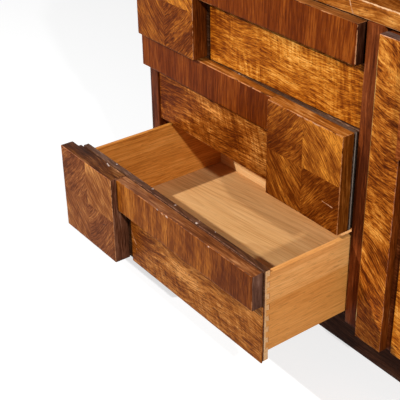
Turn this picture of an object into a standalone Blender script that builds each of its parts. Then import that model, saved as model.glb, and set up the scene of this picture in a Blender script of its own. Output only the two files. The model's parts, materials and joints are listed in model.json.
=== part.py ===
"""Block-front lowboy: two banks of three dovetailed drawers beside a pair of doors.

Metres, +Z up, +X to the right along the front, +Y into the case. The origin is on the
floor, under the middle of the plinth's front board. The lowest left drawer stands open.
"""
import math

import bmesh
import bpy
from mathutils import Matrix, Vector

MM = 0.001

# Clearances shared by the whole piece
joint_gap = 0.3 * MM        # between pieces that are glued or rest on each other
cut_overrun = 2 * MM        # how far a cutter runs past the face that it opens

# Case
bank_width = 642 * MM       # outer face of a side to the near face of the partition
side_thickness = 30 * MM
side_recess = 3.5 * MM      # front edges of the sides and top, behind the partition's
partition_thickness = 34.5 * MM
door_opening = 589 * MM
case_depth = 430 * MM
top_thickness = 29 * MM
top_ease = 1.6 * MM
bottom_thickness = 22 * MM
dust_board_thickness = 19 * MM
back_thickness = 5 * MM
carcass_setback = 27 * MM   # front edges of the bottom and dust boards

# Plinth
plinth_height = 110 * MM
plinth_board = 18 * MM
plinth_recess = 55 * MM
plinth_end_inset = 60 * MM
plinth_back_inset = 20 * MM

# Rows of drawers
row_count = 3
front_height = 197.6 * MM
row_gap = 1.7 * MM
front_drop = 1.5 * MM       # the lowest front hangs this far below the case bottom
top_gap = 2.3 * MM

# Drawer fronts: a dark base board that carries a block, a slab and a veneered panel
base_face = 10 * MM         # base board's face, behind the partition's front edge
base_thickness = 13 * MM
base_rise = 2 * MM          # base board's foot, above the foot of what it carries
base_top_rise = 1.6 * MM    # base board's top, above the block's
base_ease = 1 * MM
base_outer_clearance = 10 * MM
base_inner_clearance = 3.5 * MM
block_width = 199 * MM
block_proud = 26.9 * MM     # block's face, in front of the partition's front edge
block_inset = 6 * MM
slab_height = 72.5 * MM
slab_proud = 14.4 * MM      # slab's face, in front of the partition's front edge
slab_drop = 1.2 * MM        # slab's top edge, below the block's
slab_end_short = 3 * MM     # slab's end, short of the base board's inner end
middle_block_short = 6 * MM   # the same for the middle row's block
panel_thickness = 3.2 * MM
panel_reveal = 13.4 * MM    # dark strip of base board between the block and the panel
panel_edge_gap = 2 * MM
overlay_clearance = 0.6 * MM
block_ease = 1.2 * MM

# Drawer boxes
box_outer_inset = 52 * MM   # outer side of the box, from the case's outer face
box_depth = 365 * MM        # from the base board's face to the back ends of the sides
box_side_drop = 5.8 * MM    # tops of the sides, below the block's
box_side_thickness = 10.5 * MM
box_side_ease = 2.2 * MM
box_back_thickness = 12 * MM
box_back_drop = 6 * MM
box_back_inset = 2 * MM
housing_depth = 5 * MM
box_bottom_thickness = 6 * MM

# Half-blind dovetails at the partition end, a sliding dovetail at the other. The
# groove for the bottom runs out in the pin between the two lowest tails.
tail_count = 7
tail_length = 6.5 * MM
tail_wide_share = 0.58      # of the pitch of the tails, at their ends
tail_neck_share = 0.44      # the same at their necks
slide_tongue_length = 6.5 * MM
slide_tongue_wide = 8.5 * MM
slide_tongue_neck = 6 * MM

# Centre guides
runner_width = 40 * MM
runner_height = 14 * MM
guide_strip_width = 11 * MM
guide_strip_lift = 4 * MM   # above the lower edges of the sides
guide_clearance = 1 * MM

# How far the lowest left drawer stands open
open_drawer_pull = 210 * MM

# Doors
door_gap = 1.8 * MM
door_meeting_gap = 3.2 * MM
door_thickness = 16 * MM
door_drop = 7 * MM          # below the case bottom
door_top_gap = 7.7 * MM
door_slab_width = 63.5 * MM
door_slab_proud = 9.1 * MM
door_block_proud = 19.4 * MM
door_block_height = 191 * MM
door_reveal = 12.5 * MM
door_far_margin = 2 * MM

# Continuous hinges of the doors
hinge_barrel_radius = 2.4 * MM
hinge_leaf_thickness = 1 * MM
hinge_leaf_depth = 24 * MM
hinge_end_distance = 30 * MM
hinge_barrel_sides = 12
hinge_knuckle_count = 9
hinge_knuckle_groove = 0.5 * MM
hinge_knuckle_groove_depth = 0.4 * MM

# Heights and widths that follow from the sizes above
case_bottom = plinth_height
lowest_front = case_bottom - front_drop
row_pitch = front_height + row_gap
top_underside = lowest_front + row_count * row_pitch - row_gap + top_gap
overall_width = 2 * (bank_width + partition_thickness) + door_opening
half_width = overall_width / 2
case_front = -(plinth_recess + plinth_board / 2)
row_floor = front_drop + bottom_thickness     # runner boards' tops, above a front's foot
box_lift = row_floor + joint_gap
box_side_height = front_height - box_lift - box_side_drop
tail_pitch = box_side_height / tail_count
bottom_foot = box_lift + tail_pitch - box_bottom_thickness / 2
box_inner_end = bank_width - base_inner_clearance
bay_back = case_depth - back_thickness - joint_gap
bank_middle = (side_thickness + bank_width) / 2

COLOURS = {
    "stained_walnut": ((0.085, 0.030, 0.014), 0.38),
    "red_walnut": ((0.190, 0.062, 0.022), 0.34),
    "figured_walnut": ((0.420, 0.165, 0.042), 0.32),
    "parquet_walnut": ((0.240, 0.085, 0.028), 0.34),
    "plinth_stain": ((0.028, 0.011, 0.006), 0.45),
    "oak": ((0.560, 0.300, 0.120), 0.55),
    "pale_ash": ((0.680, 0.430, 0.210), 0.55),
    "hardboard": ((0.200, 0.110, 0.055), 0.75),
    "brass": ((0.560, 0.390, 0.160), 0.35),
}


def clear_scene():
    """Empty the file of objects and of the two collections that this script makes."""
    for item in list(bpy.data.objects):
        bpy.data.objects.remove(item, do_unlink=True)
    for name in ("block_front_lowboy", "cutters"):
        if name in bpy.data.collections:
            bpy.data.collections.remove(bpy.data.collections[name])


def new_collection(name):
    """A collection linked to the scene."""
    group = bpy.data.collections.new(name)
    bpy.context.scene.collection.children.link(group)
    return group


def finish_of(kind, name):
    """The material of one piece: a Principled BSDF in one of the timber colours."""
    colour, roughness = COLOURS[kind]
    material = bpy.data.materials.new(name)
    material.use_nodes = True
    shader = material.node_tree.nodes["Principled BSDF"]
    shader.inputs["Base Color"].default_value = (*colour, 1.0)
    shader.inputs["Roughness"].default_value = roughness
    shader.inputs["Metallic"].default_value = 1.0 if kind == "brass" else 0.0
    return material


def box_into(mesh, low, high, centre):
    """Add a box between two corners to a bmesh whose own origin is at centre."""
    low, high, centre = Vector(low), Vector(high), Vector(centre)
    size = high - low
    place = Matrix.Translation((low + high) / 2 - centre) @ Matrix.Diagonal((*size, 1.0))
    return bmesh.ops.create_cube(mesh, size=1, matrix=place)["verts"]


def as_object(mesh, name, centre, parent, group):
    """Turn a bmesh into an object whose origin is at centre, in its parent's axes."""
    data = bpy.data.meshes.new(name)
    mesh.to_mesh(data)
    mesh.free()
    item = bpy.data.objects.new(name, data)
    item.parent = parent
    item.location = centre
    group.objects.link(item)
    return item


def board(name, kind, low, high, parent, ease=0.0):
    """A square-cut board between two corners, its edges eased if asked."""
    low, high = Vector(low), Vector(high)
    centre = (low + high) / 2
    mesh = bmesh.new()
    box_into(mesh, low, high, centre)
    item = as_object(mesh, name, centre, parent, pieces)
    item.data.materials.append(finish_of(kind, name))
    if ease:
        bevel = item.modifiers.new("eased edges", "BEVEL")
        bevel.width = ease
        bevel.segments = 1
    return item


def cutter(name, mesh, parent):
    """Keep a bmesh, made in its parent's axes, as a hidden cutter."""
    item = as_object(mesh, name, Vector(), parent, cutters)
    item.hide_render = True
    item.display_type = "WIRE"
    return item


def box_cutter(name, low, high, parent):
    """A cutter with the shape of a box."""
    mesh = bmesh.new()
    box_into(mesh, low, high, Vector())
    return cutter(name, mesh, parent)


def combine(item, other, operation, label):
    """Cut another object from this one, or fuse it on."""
    change = item.modifiers.new(label, "BOOLEAN")
    change.operation = operation
    change.object = other
    change.solver = "EXACT"


def span(hand, first, last):
    """Two distances from the case's outer face as ordered positions along X."""
    return tuple(sorted((hand * first, hand * last)))


def flared_box(mesh, low, high, axis, grow):
    """A box whose end at low Y is wider along one axis by grow on each side."""
    verts = box_into(mesh, low, high, Vector())
    middle = (low[axis] + high[axis]) / 2
    for vert in verts:
        if vert.co.y < (low[1] + high[1]) / 2:
            vert.co[axis] += math.copysign(grow, vert.co[axis] - middle)


def dovetail_mesh(hand, gap):
    """The row of tails on the partition end of a drawer side, grown by a gap.

    Each tail is a prism that reaches forwards from the base board's back face and
    widens from its neck to its front end.
    """
    mesh = bmesh.new()
    back = base_face + base_thickness
    neck = tail_pitch * tail_neck_share
    front = back - tail_length - gap
    flare = (tail_pitch * tail_wide_share - neck) / 2
    overlap = cut_overrun if gap else joint_gap + cut_overrun
    outer = box_inner_end + (cut_overrun if gap else 0)
    inner = box_inner_end - box_side_thickness - gap
    low_x, high_x = span(hand, inner, outer)
    for row in range(tail_count):
        middle = box_lift + (row + 1 / 2) * tail_pitch
        half = neck / 2 + gap
        low = (low_x, front, middle - half)
        high = (high_x, back + overlap, middle + half)
        flared_box(mesh, low, high, 2, flare)
    return mesh


def tongue_mesh(hand, gap):
    """The sliding dovetail on the outer side board, grown by a gap."""
    mesh = bmesh.new()
    back = base_face + base_thickness
    front = back - slide_tongue_length - gap
    flare = (slide_tongue_wide - slide_tongue_neck) / 2
    middle = hand * (box_outer_inset + box_side_thickness / 2)
    half = slide_tongue_neck / 2 + gap
    overlap = cut_overrun if gap else joint_gap + cut_overrun
    foot = box_lift - (cut_overrun + row_floor if gap else 0)
    head = box_lift + box_side_height + gap
    low = (middle - half, front, foot)
    high = (middle + half, back + overlap, head)
    flared_box(mesh, low, high, 0, flare)
    return mesh


def side_board_mesh(hand, start, front_y, back_y):
    """One side of a drawer box, its long top edges rounded over."""
    mesh = bmesh.new()
    low_x, high_x = span(hand, start, start + box_side_thickness)
    box_into(mesh, (low_x, front_y, box_lift),
             (high_x, back_y, box_lift + box_side_height), Vector())
    middle_z = box_lift + box_side_height / 2
    edges = [
        edge for edge in mesh.edges
        if all(vert.co.z > middle_z for vert in edge.verts)
        and abs(edge.verts[0].co.y - edge.verts[1].co.y) > box_side_height
    ]
    bmesh.ops.bevel(mesh, geom=edges, offset=box_side_ease, segments=2,
                    profile=0.5, affect="EDGES")
    return mesh


def make_drawer(bank, hand, row, pull):
    """One drawer: its front, with what is applied to it, and its box.

    Positions are taken from the case's outer face along X, from the partition's front
    edge along Y and from the foot of this drawer's front along Z.
    """
    label = f"{bank}_drawer_{('lower', 'middle', 'upper')[row]}"
    slide = bpy.data.objects.new(f"{label}_slide", None)
    slide.parent = case
    slide.location = (-hand * half_width, -pull, lowest_front + row * row_pitch)
    pieces.objects.link(slide)
    block_outside = row != 1
    base_back = base_face + base_thickness
    glue = base_face - joint_gap

    make_front_board(label, hand, slide)

    # The block, the slab beside it and the veneered panel below the slab
    if block_outside:
        block_start = block_inset
        slab_range = (block_start + block_width + joint_gap, box_inner_end - slab_end_short)
        panel_range = (block_start + block_width + panel_reveal, box_inner_end)
    else:
        block_start = box_inner_end - middle_block_short - block_width
        slab_range = (0, block_start - joint_gap)
        panel_range = (side_thickness + panel_edge_gap, block_start - panel_reveal)
    block_x = span(hand, block_start, block_start + block_width)
    block = board(f"{label}_block", "parquet_walnut",
                  (block_x[0], -block_proud, 0),
                  (block_x[1], glue, front_height), slide, block_ease)
    slab_x = span(hand, *slab_range)
    slab_top = front_height - slab_drop
    slab = board(f"{label}_slab", "red_walnut",
                 (slab_x[0], -slab_proud, slab_top - slab_height),
                 (slab_x[1], glue, slab_top), slide, block_ease)
    panel_x = span(hand, *panel_range)
    board(f"{label}_panel", "figured_walnut",
          (panel_x[0], glue - panel_thickness, 0),
          (panel_x[1], glue, slab_top - slab_height - joint_gap), slide)

    # Whatever laps over the case side is relieved behind, to clear its front edge
    lapping = block if block_outside else slab
    relief_x = span(hand, -cut_overrun, side_thickness + panel_edge_gap)
    relief = box_cutter(f"{label}_side_relief",
                        (relief_x[0], side_recess - overlay_clearance, -cut_overrun),
                        (relief_x[1], base_back, front_height + cut_overrun), slide)
    combine(lapping, relief, "DIFFERENCE", "relief over the case side")

    make_box(label, hand, slide, knocked_down=pull > 0)


def make_front_board(label, hand, slide):
    """The dark base board of a drawer front, cut for the joints of its box."""
    front_x = span(hand, side_thickness + base_outer_clearance, box_inner_end)
    base_back = base_face + base_thickness
    front = board(f"{label}_front_board", "stained_walnut",
                  (front_x[0], base_face, base_rise),
                  (front_x[1], base_back, front_height + base_top_rise), slide, base_ease)
    sockets = cutter(f"{label}_tail_sockets", dovetail_mesh(hand, joint_gap), slide)
    combine(front, sockets, "DIFFERENCE", "dovetail sockets")
    way = cutter(f"{label}_slide_groove", tongue_mesh(hand, joint_gap), slide)
    combine(front, way, "DIFFERENCE", "sliding dovetail groove")
    groove_x = span(hand, box_outer_inset + box_side_thickness - housing_depth,
                    box_inner_end - box_side_thickness + housing_depth)
    low_z = bottom_foot - joint_gap
    groove = box_cutter(f"{label}_front_groove",
                        (groove_x[0], base_back - housing_depth, low_z),
                        (groove_x[1], base_back + cut_overrun,
                         low_z + box_bottom_thickness + 2 * joint_gap), slide)
    combine(front, groove, "DIFFERENCE", "groove for the bottom")


def make_box(label, hand, slide, knocked_down):
    """Sides, back and bottom of a drawer box, housed and grooved into each other.

    The sides and the back are nodes of their own where the box is knocked down, and
    otherwise one glued-up frame.
    """
    base_back = base_face + base_thickness
    start = base_back + joint_gap
    end = base_face + box_depth
    top = box_lift + box_side_height
    outer = (box_outer_inset, box_outer_inset + box_side_thickness)
    inner = (box_inner_end - box_side_thickness, box_inner_end)
    back_y = end - box_back_inset - box_back_thickness
    housed = housing_depth - joint_gap

    # The two sides, joined to the front by tails and by a sliding dovetail
    outer_side = side_object(f"{label}_outer_side", hand, outer[0], (start, end),
                             tongue_mesh(hand, 0), slide)
    inner_side = side_object(f"{label}_inner_side", hand, inner[0], (start, end),
                             dovetail_mesh(hand, 0), slide)
    inside_x = span(hand, outer[1] - housing_depth, inner[0] + housing_depth)
    groove = box_cutter(f"{label}_side_grooves",
                        (inside_x[0], base_back - housing_depth, bottom_foot - joint_gap),
                        (inside_x[1], end + cut_overrun,
                         bottom_foot + box_bottom_thickness + joint_gap), slide)
    housing = box_cutter(f"{label}_side_housings",
                         (inside_x[0], back_y - joint_gap, bottom_foot),
                         (inside_x[1], back_y + box_back_thickness + joint_gap,
                          top + cut_overrun), slide)
    for side in (outer_side, inner_side):
        combine(side, groove, "DIFFERENCE", "groove for the bottom")
        if knocked_down:
            combine(side, housing, "DIFFERENCE", "housing for the back")

    # The back stands on the bottom, between the sides
    back_x = span(hand, outer[1] - housed, inner[0] + housed)
    back = board(f"{label}_back", "pale_ash",
                 (back_x[0], back_y, bottom_foot + box_bottom_thickness + joint_gap),
                 (back_x[1], back_y + box_back_thickness, top - box_back_drop), slide)
    if not knocked_down:
        inner_side.name = f"{label}_box_frame"
        for other in (outer_side, back):
            hide_as_cutter(other)
        combine(inner_side, back, "UNION", "glued to the back")
        combine(inner_side, outer_side, "UNION", "glued to the outer side")

    # The bottom, with the two strips beneath it that run along the centre runner
    bottom = board(f"{label}_bottom", "pale_ash",
                   (back_x[0], base_back - housed, bottom_foot),
                   (back_x[1], end - joint_gap, bottom_foot + box_bottom_thickness), slide)
    strips = bmesh.new()
    near = runner_width / 2 + guide_clearance
    for way in (-1, 1):
        edge = hand * bank_middle + way * near
        low_x, high_x = sorted((edge, edge + way * guide_strip_width))
        box_into(strips, (low_x, start + joint_gap, box_lift + guide_strip_lift),
                 (high_x, end - box_back_inset, bottom_foot + joint_gap), Vector())
    combine(bottom, cutter(f"{label}_guide_strips", strips, slide), "UNION", "guide strips")


def side_object(name, hand, start, reach, joint, slide):
    """One side of a drawer box with the joint that it is fixed to the front by."""
    side = as_object(side_board_mesh(hand, start, *reach), name, Vector(), slide, pieces)
    side.data.materials.append(finish_of("oak", name))
    combine(side, cutter(f"{name}_joint", joint, slide), "UNION", "joint to the front")
    return side


def hide_as_cutter(item):
    """Leave an object to be fused into another one."""
    pieces.objects.unlink(item)
    cutters.objects.link(item)
    item.hide_render = True
    item.display_type = "WIRE"


def make_case():
    """Top, sides, partitions, bottom, dust boards and back of the case."""
    upper = top_underside - joint_gap
    inner_end = bank_width + partition_thickness
    board("top_board", "figured_walnut",
          (-half_width, side_recess, top_underside),
          (half_width, case_depth, top_underside + top_thickness), case, top_ease)
    for bank, hand in banks:
        outside = -hand * half_width
        low_x, high_x = (outside + x for x in span(hand, 0, side_thickness))
        board(f"{bank}_side", "stained_walnut", (low_x, side_recess, case_bottom),
              (high_x, case_depth, upper), case)
        low_x, high_x = (outside + x for x in span(hand, bank_width, inner_end))
        partition = board(f"{bank}_partition", "stained_walnut", (low_x, 0, case_bottom),
                          (high_x, bay_back, upper), case)
        rest = box_cutter(f"{bank}_partition_rest",
                          (low_x - cut_overrun, carcass_setback - joint_gap,
                           case_bottom - cut_overrun),
                          (high_x + cut_overrun, case_depth + cut_overrun,
                           case_bottom + bottom_thickness + joint_gap), case)
        combine(partition, rest, "DIFFERENCE", "rest on the bottom board")

    # The bottom board carries the runners of the lowest drawers
    between = half_width - side_thickness - joint_gap
    bottom = board("bottom_board", "oak", (-between, carcass_setback, case_bottom),
                   (between, bay_back, case_bottom + bottom_thickness), case)
    runners = bmesh.new()
    for bank, hand in banks:
        box_into(runners, *runner_corners(hand, case_bottom + bottom_thickness), Vector())
    combine(bottom, cutter("bottom_runners", runners, case), "UNION", "centre runners")

    board("back_panel", "hardboard", (-between, case_depth - back_thickness, case_bottom),
          (between, case_depth, upper), case)
    make_dust_boards()


def runner_corners(hand, floor):
    """Two corners of a centre runner that stands on a board, sunk into it a little."""
    middle = -hand * half_width + hand * bank_middle
    low = (middle - runner_width / 2, carcass_setback, floor - joint_gap)
    high = (middle + runner_width / 2, bay_back, floor + runner_height)
    return low, high


def make_dust_boards():
    """The boards between the drawers, each with its centre runner."""
    for bank, hand in banks:
        outside = -hand * half_width
        reach = span(hand, side_thickness + joint_gap, bank_width - joint_gap)
        low_x, high_x = (outside + x for x in reach)
        for row in range(1, row_count):
            level = lowest_front + row * row_pitch + row_floor
            name = f"{bank}_dust_board_{('lower', 'upper')[row - 1]}"
            item = board(name, "oak",
                         (low_x, carcass_setback, level - dust_board_thickness),
                         (high_x, bay_back, level), case)
            runner = box_cutter(f"{name}_runner", *runner_corners(hand, level), case)
            combine(item, runner, "UNION", "centre runner")


def make_plinth():
    """The recessed plinth: one frame of four boards, open beneath the case bottom."""
    top = case_bottom - joint_gap
    half = half_width - plinth_end_inset
    front_y = plinth_recess
    back_y = case_depth - plinth_back_inset
    frame = board("plinth", "plinth_stain", (-half, front_y, 0), (half, back_y, top), case)
    inside = box_cutter("plinth_inside",
                        (plinth_board - half, front_y + plinth_board, -cut_overrun),
                        (half - plinth_board, back_y - plinth_board, top + cut_overrun),
                        case)
    combine(frame, inside, "DIFFERENCE", "open frame")


def hinge_axis(hand):
    """Where a door turns, in the case's axes: just in front of the partition's edge."""
    edge = -hand * half_width + hand * (bank_width + partition_thickness)
    leaf_far = edge + hand * (joint_gap + hinge_leaf_thickness)
    return Vector((leaf_far - hand * hinge_barrel_radius,
                   -hinge_barrel_radius - joint_gap, 0))


def make_door(bank, hand):
    """One door, with a tall slab at its hinge edge and a block beside it."""
    turn = bpy.data.objects.new(f"{bank}_door_turn", None)
    turn.parent = case
    turn.location = hinge_axis(hand)
    pieces.objects.link(turn)
    partition_face = -hand * half_width + hand * (bank_width + partition_thickness)
    start = partition_face + hand * door_gap - turn.location.x
    width = door_opening / 2 - door_gap - door_meeting_gap / 2
    back_shift = -turn.location.y
    foot = case_bottom - door_drop
    head = top_underside - door_top_gap
    face = base_face + back_shift
    glue = face - joint_gap

    def across(first, last):
        """Distances from the door's hinge edge as ordered positions along X."""
        return tuple(sorted((start + hand * first, start + hand * last)))

    low_x, high_x = across(0, width)
    board(f"{bank}_door_board", "stained_walnut", (low_x, face, foot),
          (high_x, face + door_thickness, head), turn)
    low_x, high_x = across(0, door_slab_width)
    board(f"{bank}_door_slab", "figured_walnut",
          (low_x, back_shift - door_slab_proud, foot), (high_x, glue, head),
          turn, block_ease)
    block_foot = head - door_block_height
    block_start = door_slab_width + joint_gap
    low_x, high_x = across(block_start, width - door_far_margin)
    board(f"{bank}_door_block", "red_walnut",
          (low_x, back_shift - door_block_proud, block_foot), (high_x, glue, head),
          turn, block_ease)
    low_x, high_x = across(door_slab_width + door_reveal, width)
    board(f"{bank}_door_panel", "figured_walnut", (low_x, glue - panel_thickness, foot),
          (high_x, glue, block_foot - joint_gap), turn)


def make_hinge(bank, hand):
    """A door's continuous hinge: a barrel with a leaf against the partition."""
    low_z = case_bottom - door_drop + hinge_end_distance
    high_z = top_underside - door_top_gap - hinge_end_distance
    axis = hinge_axis(hand)
    edge = -hand * half_width + hand * (bank_width + partition_thickness)
    leaf_x = sorted((edge + hand * joint_gap,
                     edge + hand * (joint_gap + hinge_leaf_thickness)))
    middle = Vector((axis.x, axis.y, (low_z + high_z) / 2))
    barrel = bmesh.new()
    bmesh.ops.create_cone(barrel, cap_ends=True, segments=hinge_barrel_sides,
                          radius1=hinge_barrel_radius, radius2=hinge_barrel_radius,
                          depth=high_z - low_z)
    item = as_object(barrel, f"{bank}_door_hinge", middle, case, pieces)
    item.data.materials.append(finish_of("brass", item.name))
    leaf = box_cutter(f"{bank}_hinge_leaf", (leaf_x[0], axis.y, low_z),
                      (leaf_x[1], hinge_leaf_depth, high_z), case)
    combine(item, leaf, "UNION", "leaf")
    grooves = bmesh.new()
    knuckle = (high_z - low_z) / hinge_knuckle_count
    for count in range(1, hinge_knuckle_count):
        add_knuckle_groove(grooves, axis, low_z + count * knuckle)
    combine(item, cutter(f"{bank}_hinge_grooves", grooves, case), "DIFFERENCE", "knuckles")


def add_knuckle_groove(mesh, axis, height):
    """A shallow cut across the front of a barrel, where two knuckles meet."""
    front = axis.y - hinge_barrel_radius
    reach = hinge_barrel_radius + cut_overrun
    box_into(mesh,
             (axis.x - reach, front - cut_overrun, height - hinge_knuckle_groove / 2),
             (axis.x + reach, front + hinge_knuckle_groove_depth,
              height + hinge_knuckle_groove / 2), Vector())


clear_scene()
pieces = new_collection("block_front_lowboy")
cutters = new_collection("cutters")
banks = (("left", 1), ("right", -1))

case = bpy.data.objects.new("case_frame", None)
case.location = (0, case_front, 0)
pieces.objects.link(case)

make_case()
make_plinth()
for bank_name, bank_hand in banks:
    for row_number in range(row_count):
        stands_open = bank_name == "left" and row_number == 0
        make_drawer(bank_name, bank_hand, row_number, open_drawer_pull if stands_open else 0)
    make_door(bank_name, bank_hand)
    make_hinge(bank_name, bank_hand)
bpy.context.view_layer.update()
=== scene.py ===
# %% [markdown]
# A long, low chest of drawers in the block-front style: thick parquet blocks, raised
# slabs and thin veneered panels are glued to dark drawer fronts. The construction is
# already modelled, at its real size, in metres. This lesson dresses it: it gives every
# board soft, rubbed edges and a finish of procedural timber, and then lights it.

# %% Load the frame
import json
import math

import bpy
import numpy as np
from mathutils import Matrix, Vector


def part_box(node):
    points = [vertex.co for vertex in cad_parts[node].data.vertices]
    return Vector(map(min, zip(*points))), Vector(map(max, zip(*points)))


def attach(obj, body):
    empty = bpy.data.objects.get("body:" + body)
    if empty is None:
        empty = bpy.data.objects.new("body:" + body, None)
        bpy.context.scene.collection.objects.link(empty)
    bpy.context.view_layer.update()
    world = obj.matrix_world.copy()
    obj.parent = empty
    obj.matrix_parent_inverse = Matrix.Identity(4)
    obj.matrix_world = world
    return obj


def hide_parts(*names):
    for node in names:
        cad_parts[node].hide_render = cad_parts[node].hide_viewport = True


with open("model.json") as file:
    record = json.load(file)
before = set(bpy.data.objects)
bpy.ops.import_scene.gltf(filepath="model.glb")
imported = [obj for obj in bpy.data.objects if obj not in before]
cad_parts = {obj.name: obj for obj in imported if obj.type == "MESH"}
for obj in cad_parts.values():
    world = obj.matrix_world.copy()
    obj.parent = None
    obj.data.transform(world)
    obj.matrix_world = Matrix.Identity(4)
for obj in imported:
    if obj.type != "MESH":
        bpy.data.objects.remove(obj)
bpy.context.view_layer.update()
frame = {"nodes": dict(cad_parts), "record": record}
record = frame["record"]
MM = 0.001
body_of_node = {
    node: body
    for body, members in record["behaviour"]["bodies"].items()
    for node in members
}

# %% [markdown]
# The camera stands in front of the chest, to the right and above it, and looks down
# at the open drawer. A lens of 86 mm on a 36 mm wide sensor gives the flat, slightly
# converging view of a product photograph. The roll of one degree belongs to the view.

# %% Camera
sensor_width = 36
lens_length = 86.278
camera_place = (0.68351, -1.13862, 1.23877)
camera_turn = (59.4814, 0.8958, 53.3346)


def new_object(name, data):
    """An object of the scene that holds a mesh, a lamp or a camera."""
    item = bpy.data.objects.new(name, data)
    bpy.context.scene.collection.objects.link(item)
    return item


lens_data = bpy.data.cameras.new("view")
lens_data.sensor_width = sensor_width
lens_data.lens = lens_length
camera = new_object("view", lens_data)
camera.location = camera_place
camera.rotation_euler = [math.radians(degrees) for degrees in camera_turn]
bpy.context.scene.camera = camera
print("camera looks at the chest from", [round(x, 2) for x in camera.location])

# %% [markdown]
# Two lamps light the chest, both small and far off, so that their shadows are crisp. The
# main one is at the left front: the drawer front throws its shadow along the drawer
# bottom. The second is weaker, lights what faces right, and draws the slanting edge on
# the inside of the drawer's left side. Their strengths are worked out from the light
# that should fall on a surface turned to them, where 1 renders a colour as written.

# %% Lamps
lit_middle = Vector((-0.55, -0.15, 0.35))
main_place = Vector((-1.98, -2.89, 2.81))
right_place = lit_middle + Vector((3.02, -1.16, 1.90))


def lamp(name, place, diameter, level):
    """A round lamp that looks at the lit middle.

    A lamp of P watts casts about P / (pi * d * d) on a surface at the distance d, and a
    white matt surface sends back the pi-th part of that, which is the level.
    """
    data = bpy.data.lights.new(name, "AREA")
    data.shape = "DISK"
    data.size = diameter
    data.energy = level * math.pi * math.pi * (lit_middle - place).length_squared
    item = new_object(name, data)
    item.location = place
    item.rotation_mode = "QUATERNION"
    item.rotation_quaternion = (lit_middle - place).to_track_quat("-Z", "Y")
    return item


main_lamp = lamp("main_lamp", main_place, diameter=0.09, level=0.97)
right_lamp = lamp("right_lamp", right_place, diameter=0.14, level=0.60)
print("lamps:", round(main_lamp.data.energy), "and", round(right_lamp.data.energy), "watts")

# %% [markdown]
# The floor and the world are white to the camera and to reflections, and grey to the
# light that bounces, so the background is white without washing out the dark walnut.
# To the camera the floor is part glow and part matt surface, which keeps the shadow.

# %% Node helpers
def feed(tree, node, inputs):
    """Give inputs of a node, by name or by number, a value or a link from a socket."""
    for key, value in inputs.items():
        if isinstance(value, bpy.types.NodeSocket):
            tree.links.new(value, node.inputs[key])
        else:
            node.inputs[key].default_value = value


def put(tree, kind, inputs=None, **settings):
    """Add a shader node, set its options and feed its inputs."""
    node = tree.nodes.new("ShaderNode" + kind)
    for name, value in settings.items():
        setattr(node, name, value)
    feed(tree, node, inputs or {})
    return node


def reckon(tree, operation, *values, clamp=False):
    """A Math node on up to three values or sockets, as its output socket."""
    node = put(tree, "Math", dict(enumerate(values)), operation=operation, use_clamp=clamp)
    return node.outputs[0]


def parts_of(tree, vector):
    """The three parts of a vector, as output sockets."""
    return put(tree, "SeparateXYZ", {0: vector}).outputs


def vector_from(tree, *parts):
    """A vector of up to three values or sockets, where a part left out is 0."""
    return put(tree, "CombineXYZ", dict(enumerate(parts))).outputs[0]


def seen_rays(tree):
    """1 for camera, glossy and transmission rays, and 0 for the light that bounces."""
    path = put(tree, "LightPath").outputs
    either = reckon(tree, "MAXIMUM", path["Is Camera Ray"], path["Is Glossy Ray"])
    return reckon(tree, "MAXIMUM", either, path["Is Transmission Ray"])


def new_material(name):
    """A material, its node tree and the shader of its surface."""
    material = bpy.data.materials.new(name)
    material.use_nodes = True
    return material, material.node_tree, material.node_tree.nodes["Principled BSDF"]


def grey(level):
    """A colour of equal red, green and blue."""
    return (level, level, level, 1)


# %% Floor and world
bounce_level = 0.16
floor_bounce = 0.28
floor_matt = 0.42
floor_glow = 0.68
floor_reach = 9.0
floor_drop = 0.5 * MM

world = bpy.data.worlds.new("white studio")
world.use_nodes = True
bpy.context.scene.world = world
sky = world.node_tree
sky_level = put(sky, "MapRange", {0: seen_rays(sky), 3: bounce_level, 4: 1.0})
feed(sky, sky.nodes["Background"], {"Color": grey(1), "Strength": sky_level.outputs[0]})

paper, tree, shader = new_material("floor paper")
tree.nodes.remove(shader)
matt = put(tree, "BsdfDiffuse", {"Color": grey(floor_matt)})
glow = put(tree, "Emission", {"Color": grey(1), "Strength": floor_glow})
bright = put(tree, "AddShader", {0: matt.outputs[0], 1: glow.outputs[0]})
dim = put(tree, "BsdfDiffuse", {"Color": grey(floor_bounce)})
either = put(tree, "MixShader", {0: seen_rays(tree), 1: dim.outputs[0], 2: bright.outputs[0]})
feed(tree, tree.nodes["Material Output"], {"Surface": either.outputs[0]})

corners = [(x * floor_reach, y * floor_reach, 0) for x, y in ((-1, -1), (1, -1), (1, 1), (-1, 1))]
floor_mesh = bpy.data.meshes.new("floor")
floor_mesh.from_pydata(corners, [], [(0, 1, 2, 3)])
floor_mesh.materials.append(paper)
floor = new_object("floor", floor_mesh)
floor.location.z = -floor_drop
bpy.context.scene.view_settings.view_transform = "Standard"
print("floor and world are in place")

# %% [markdown]
# Every board on the real chest has soft arrises, rubbed by hands and cloths. A sharp
# box never catches the light along its edges, so each board is made anew as a prism:
# an outline seen from above, carried up in rings that draw in at both ends. The rings
# and the outline's corners follow quarter circles. Straight runs are split evenly, so
# that the edges have points that wear can push in.

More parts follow.
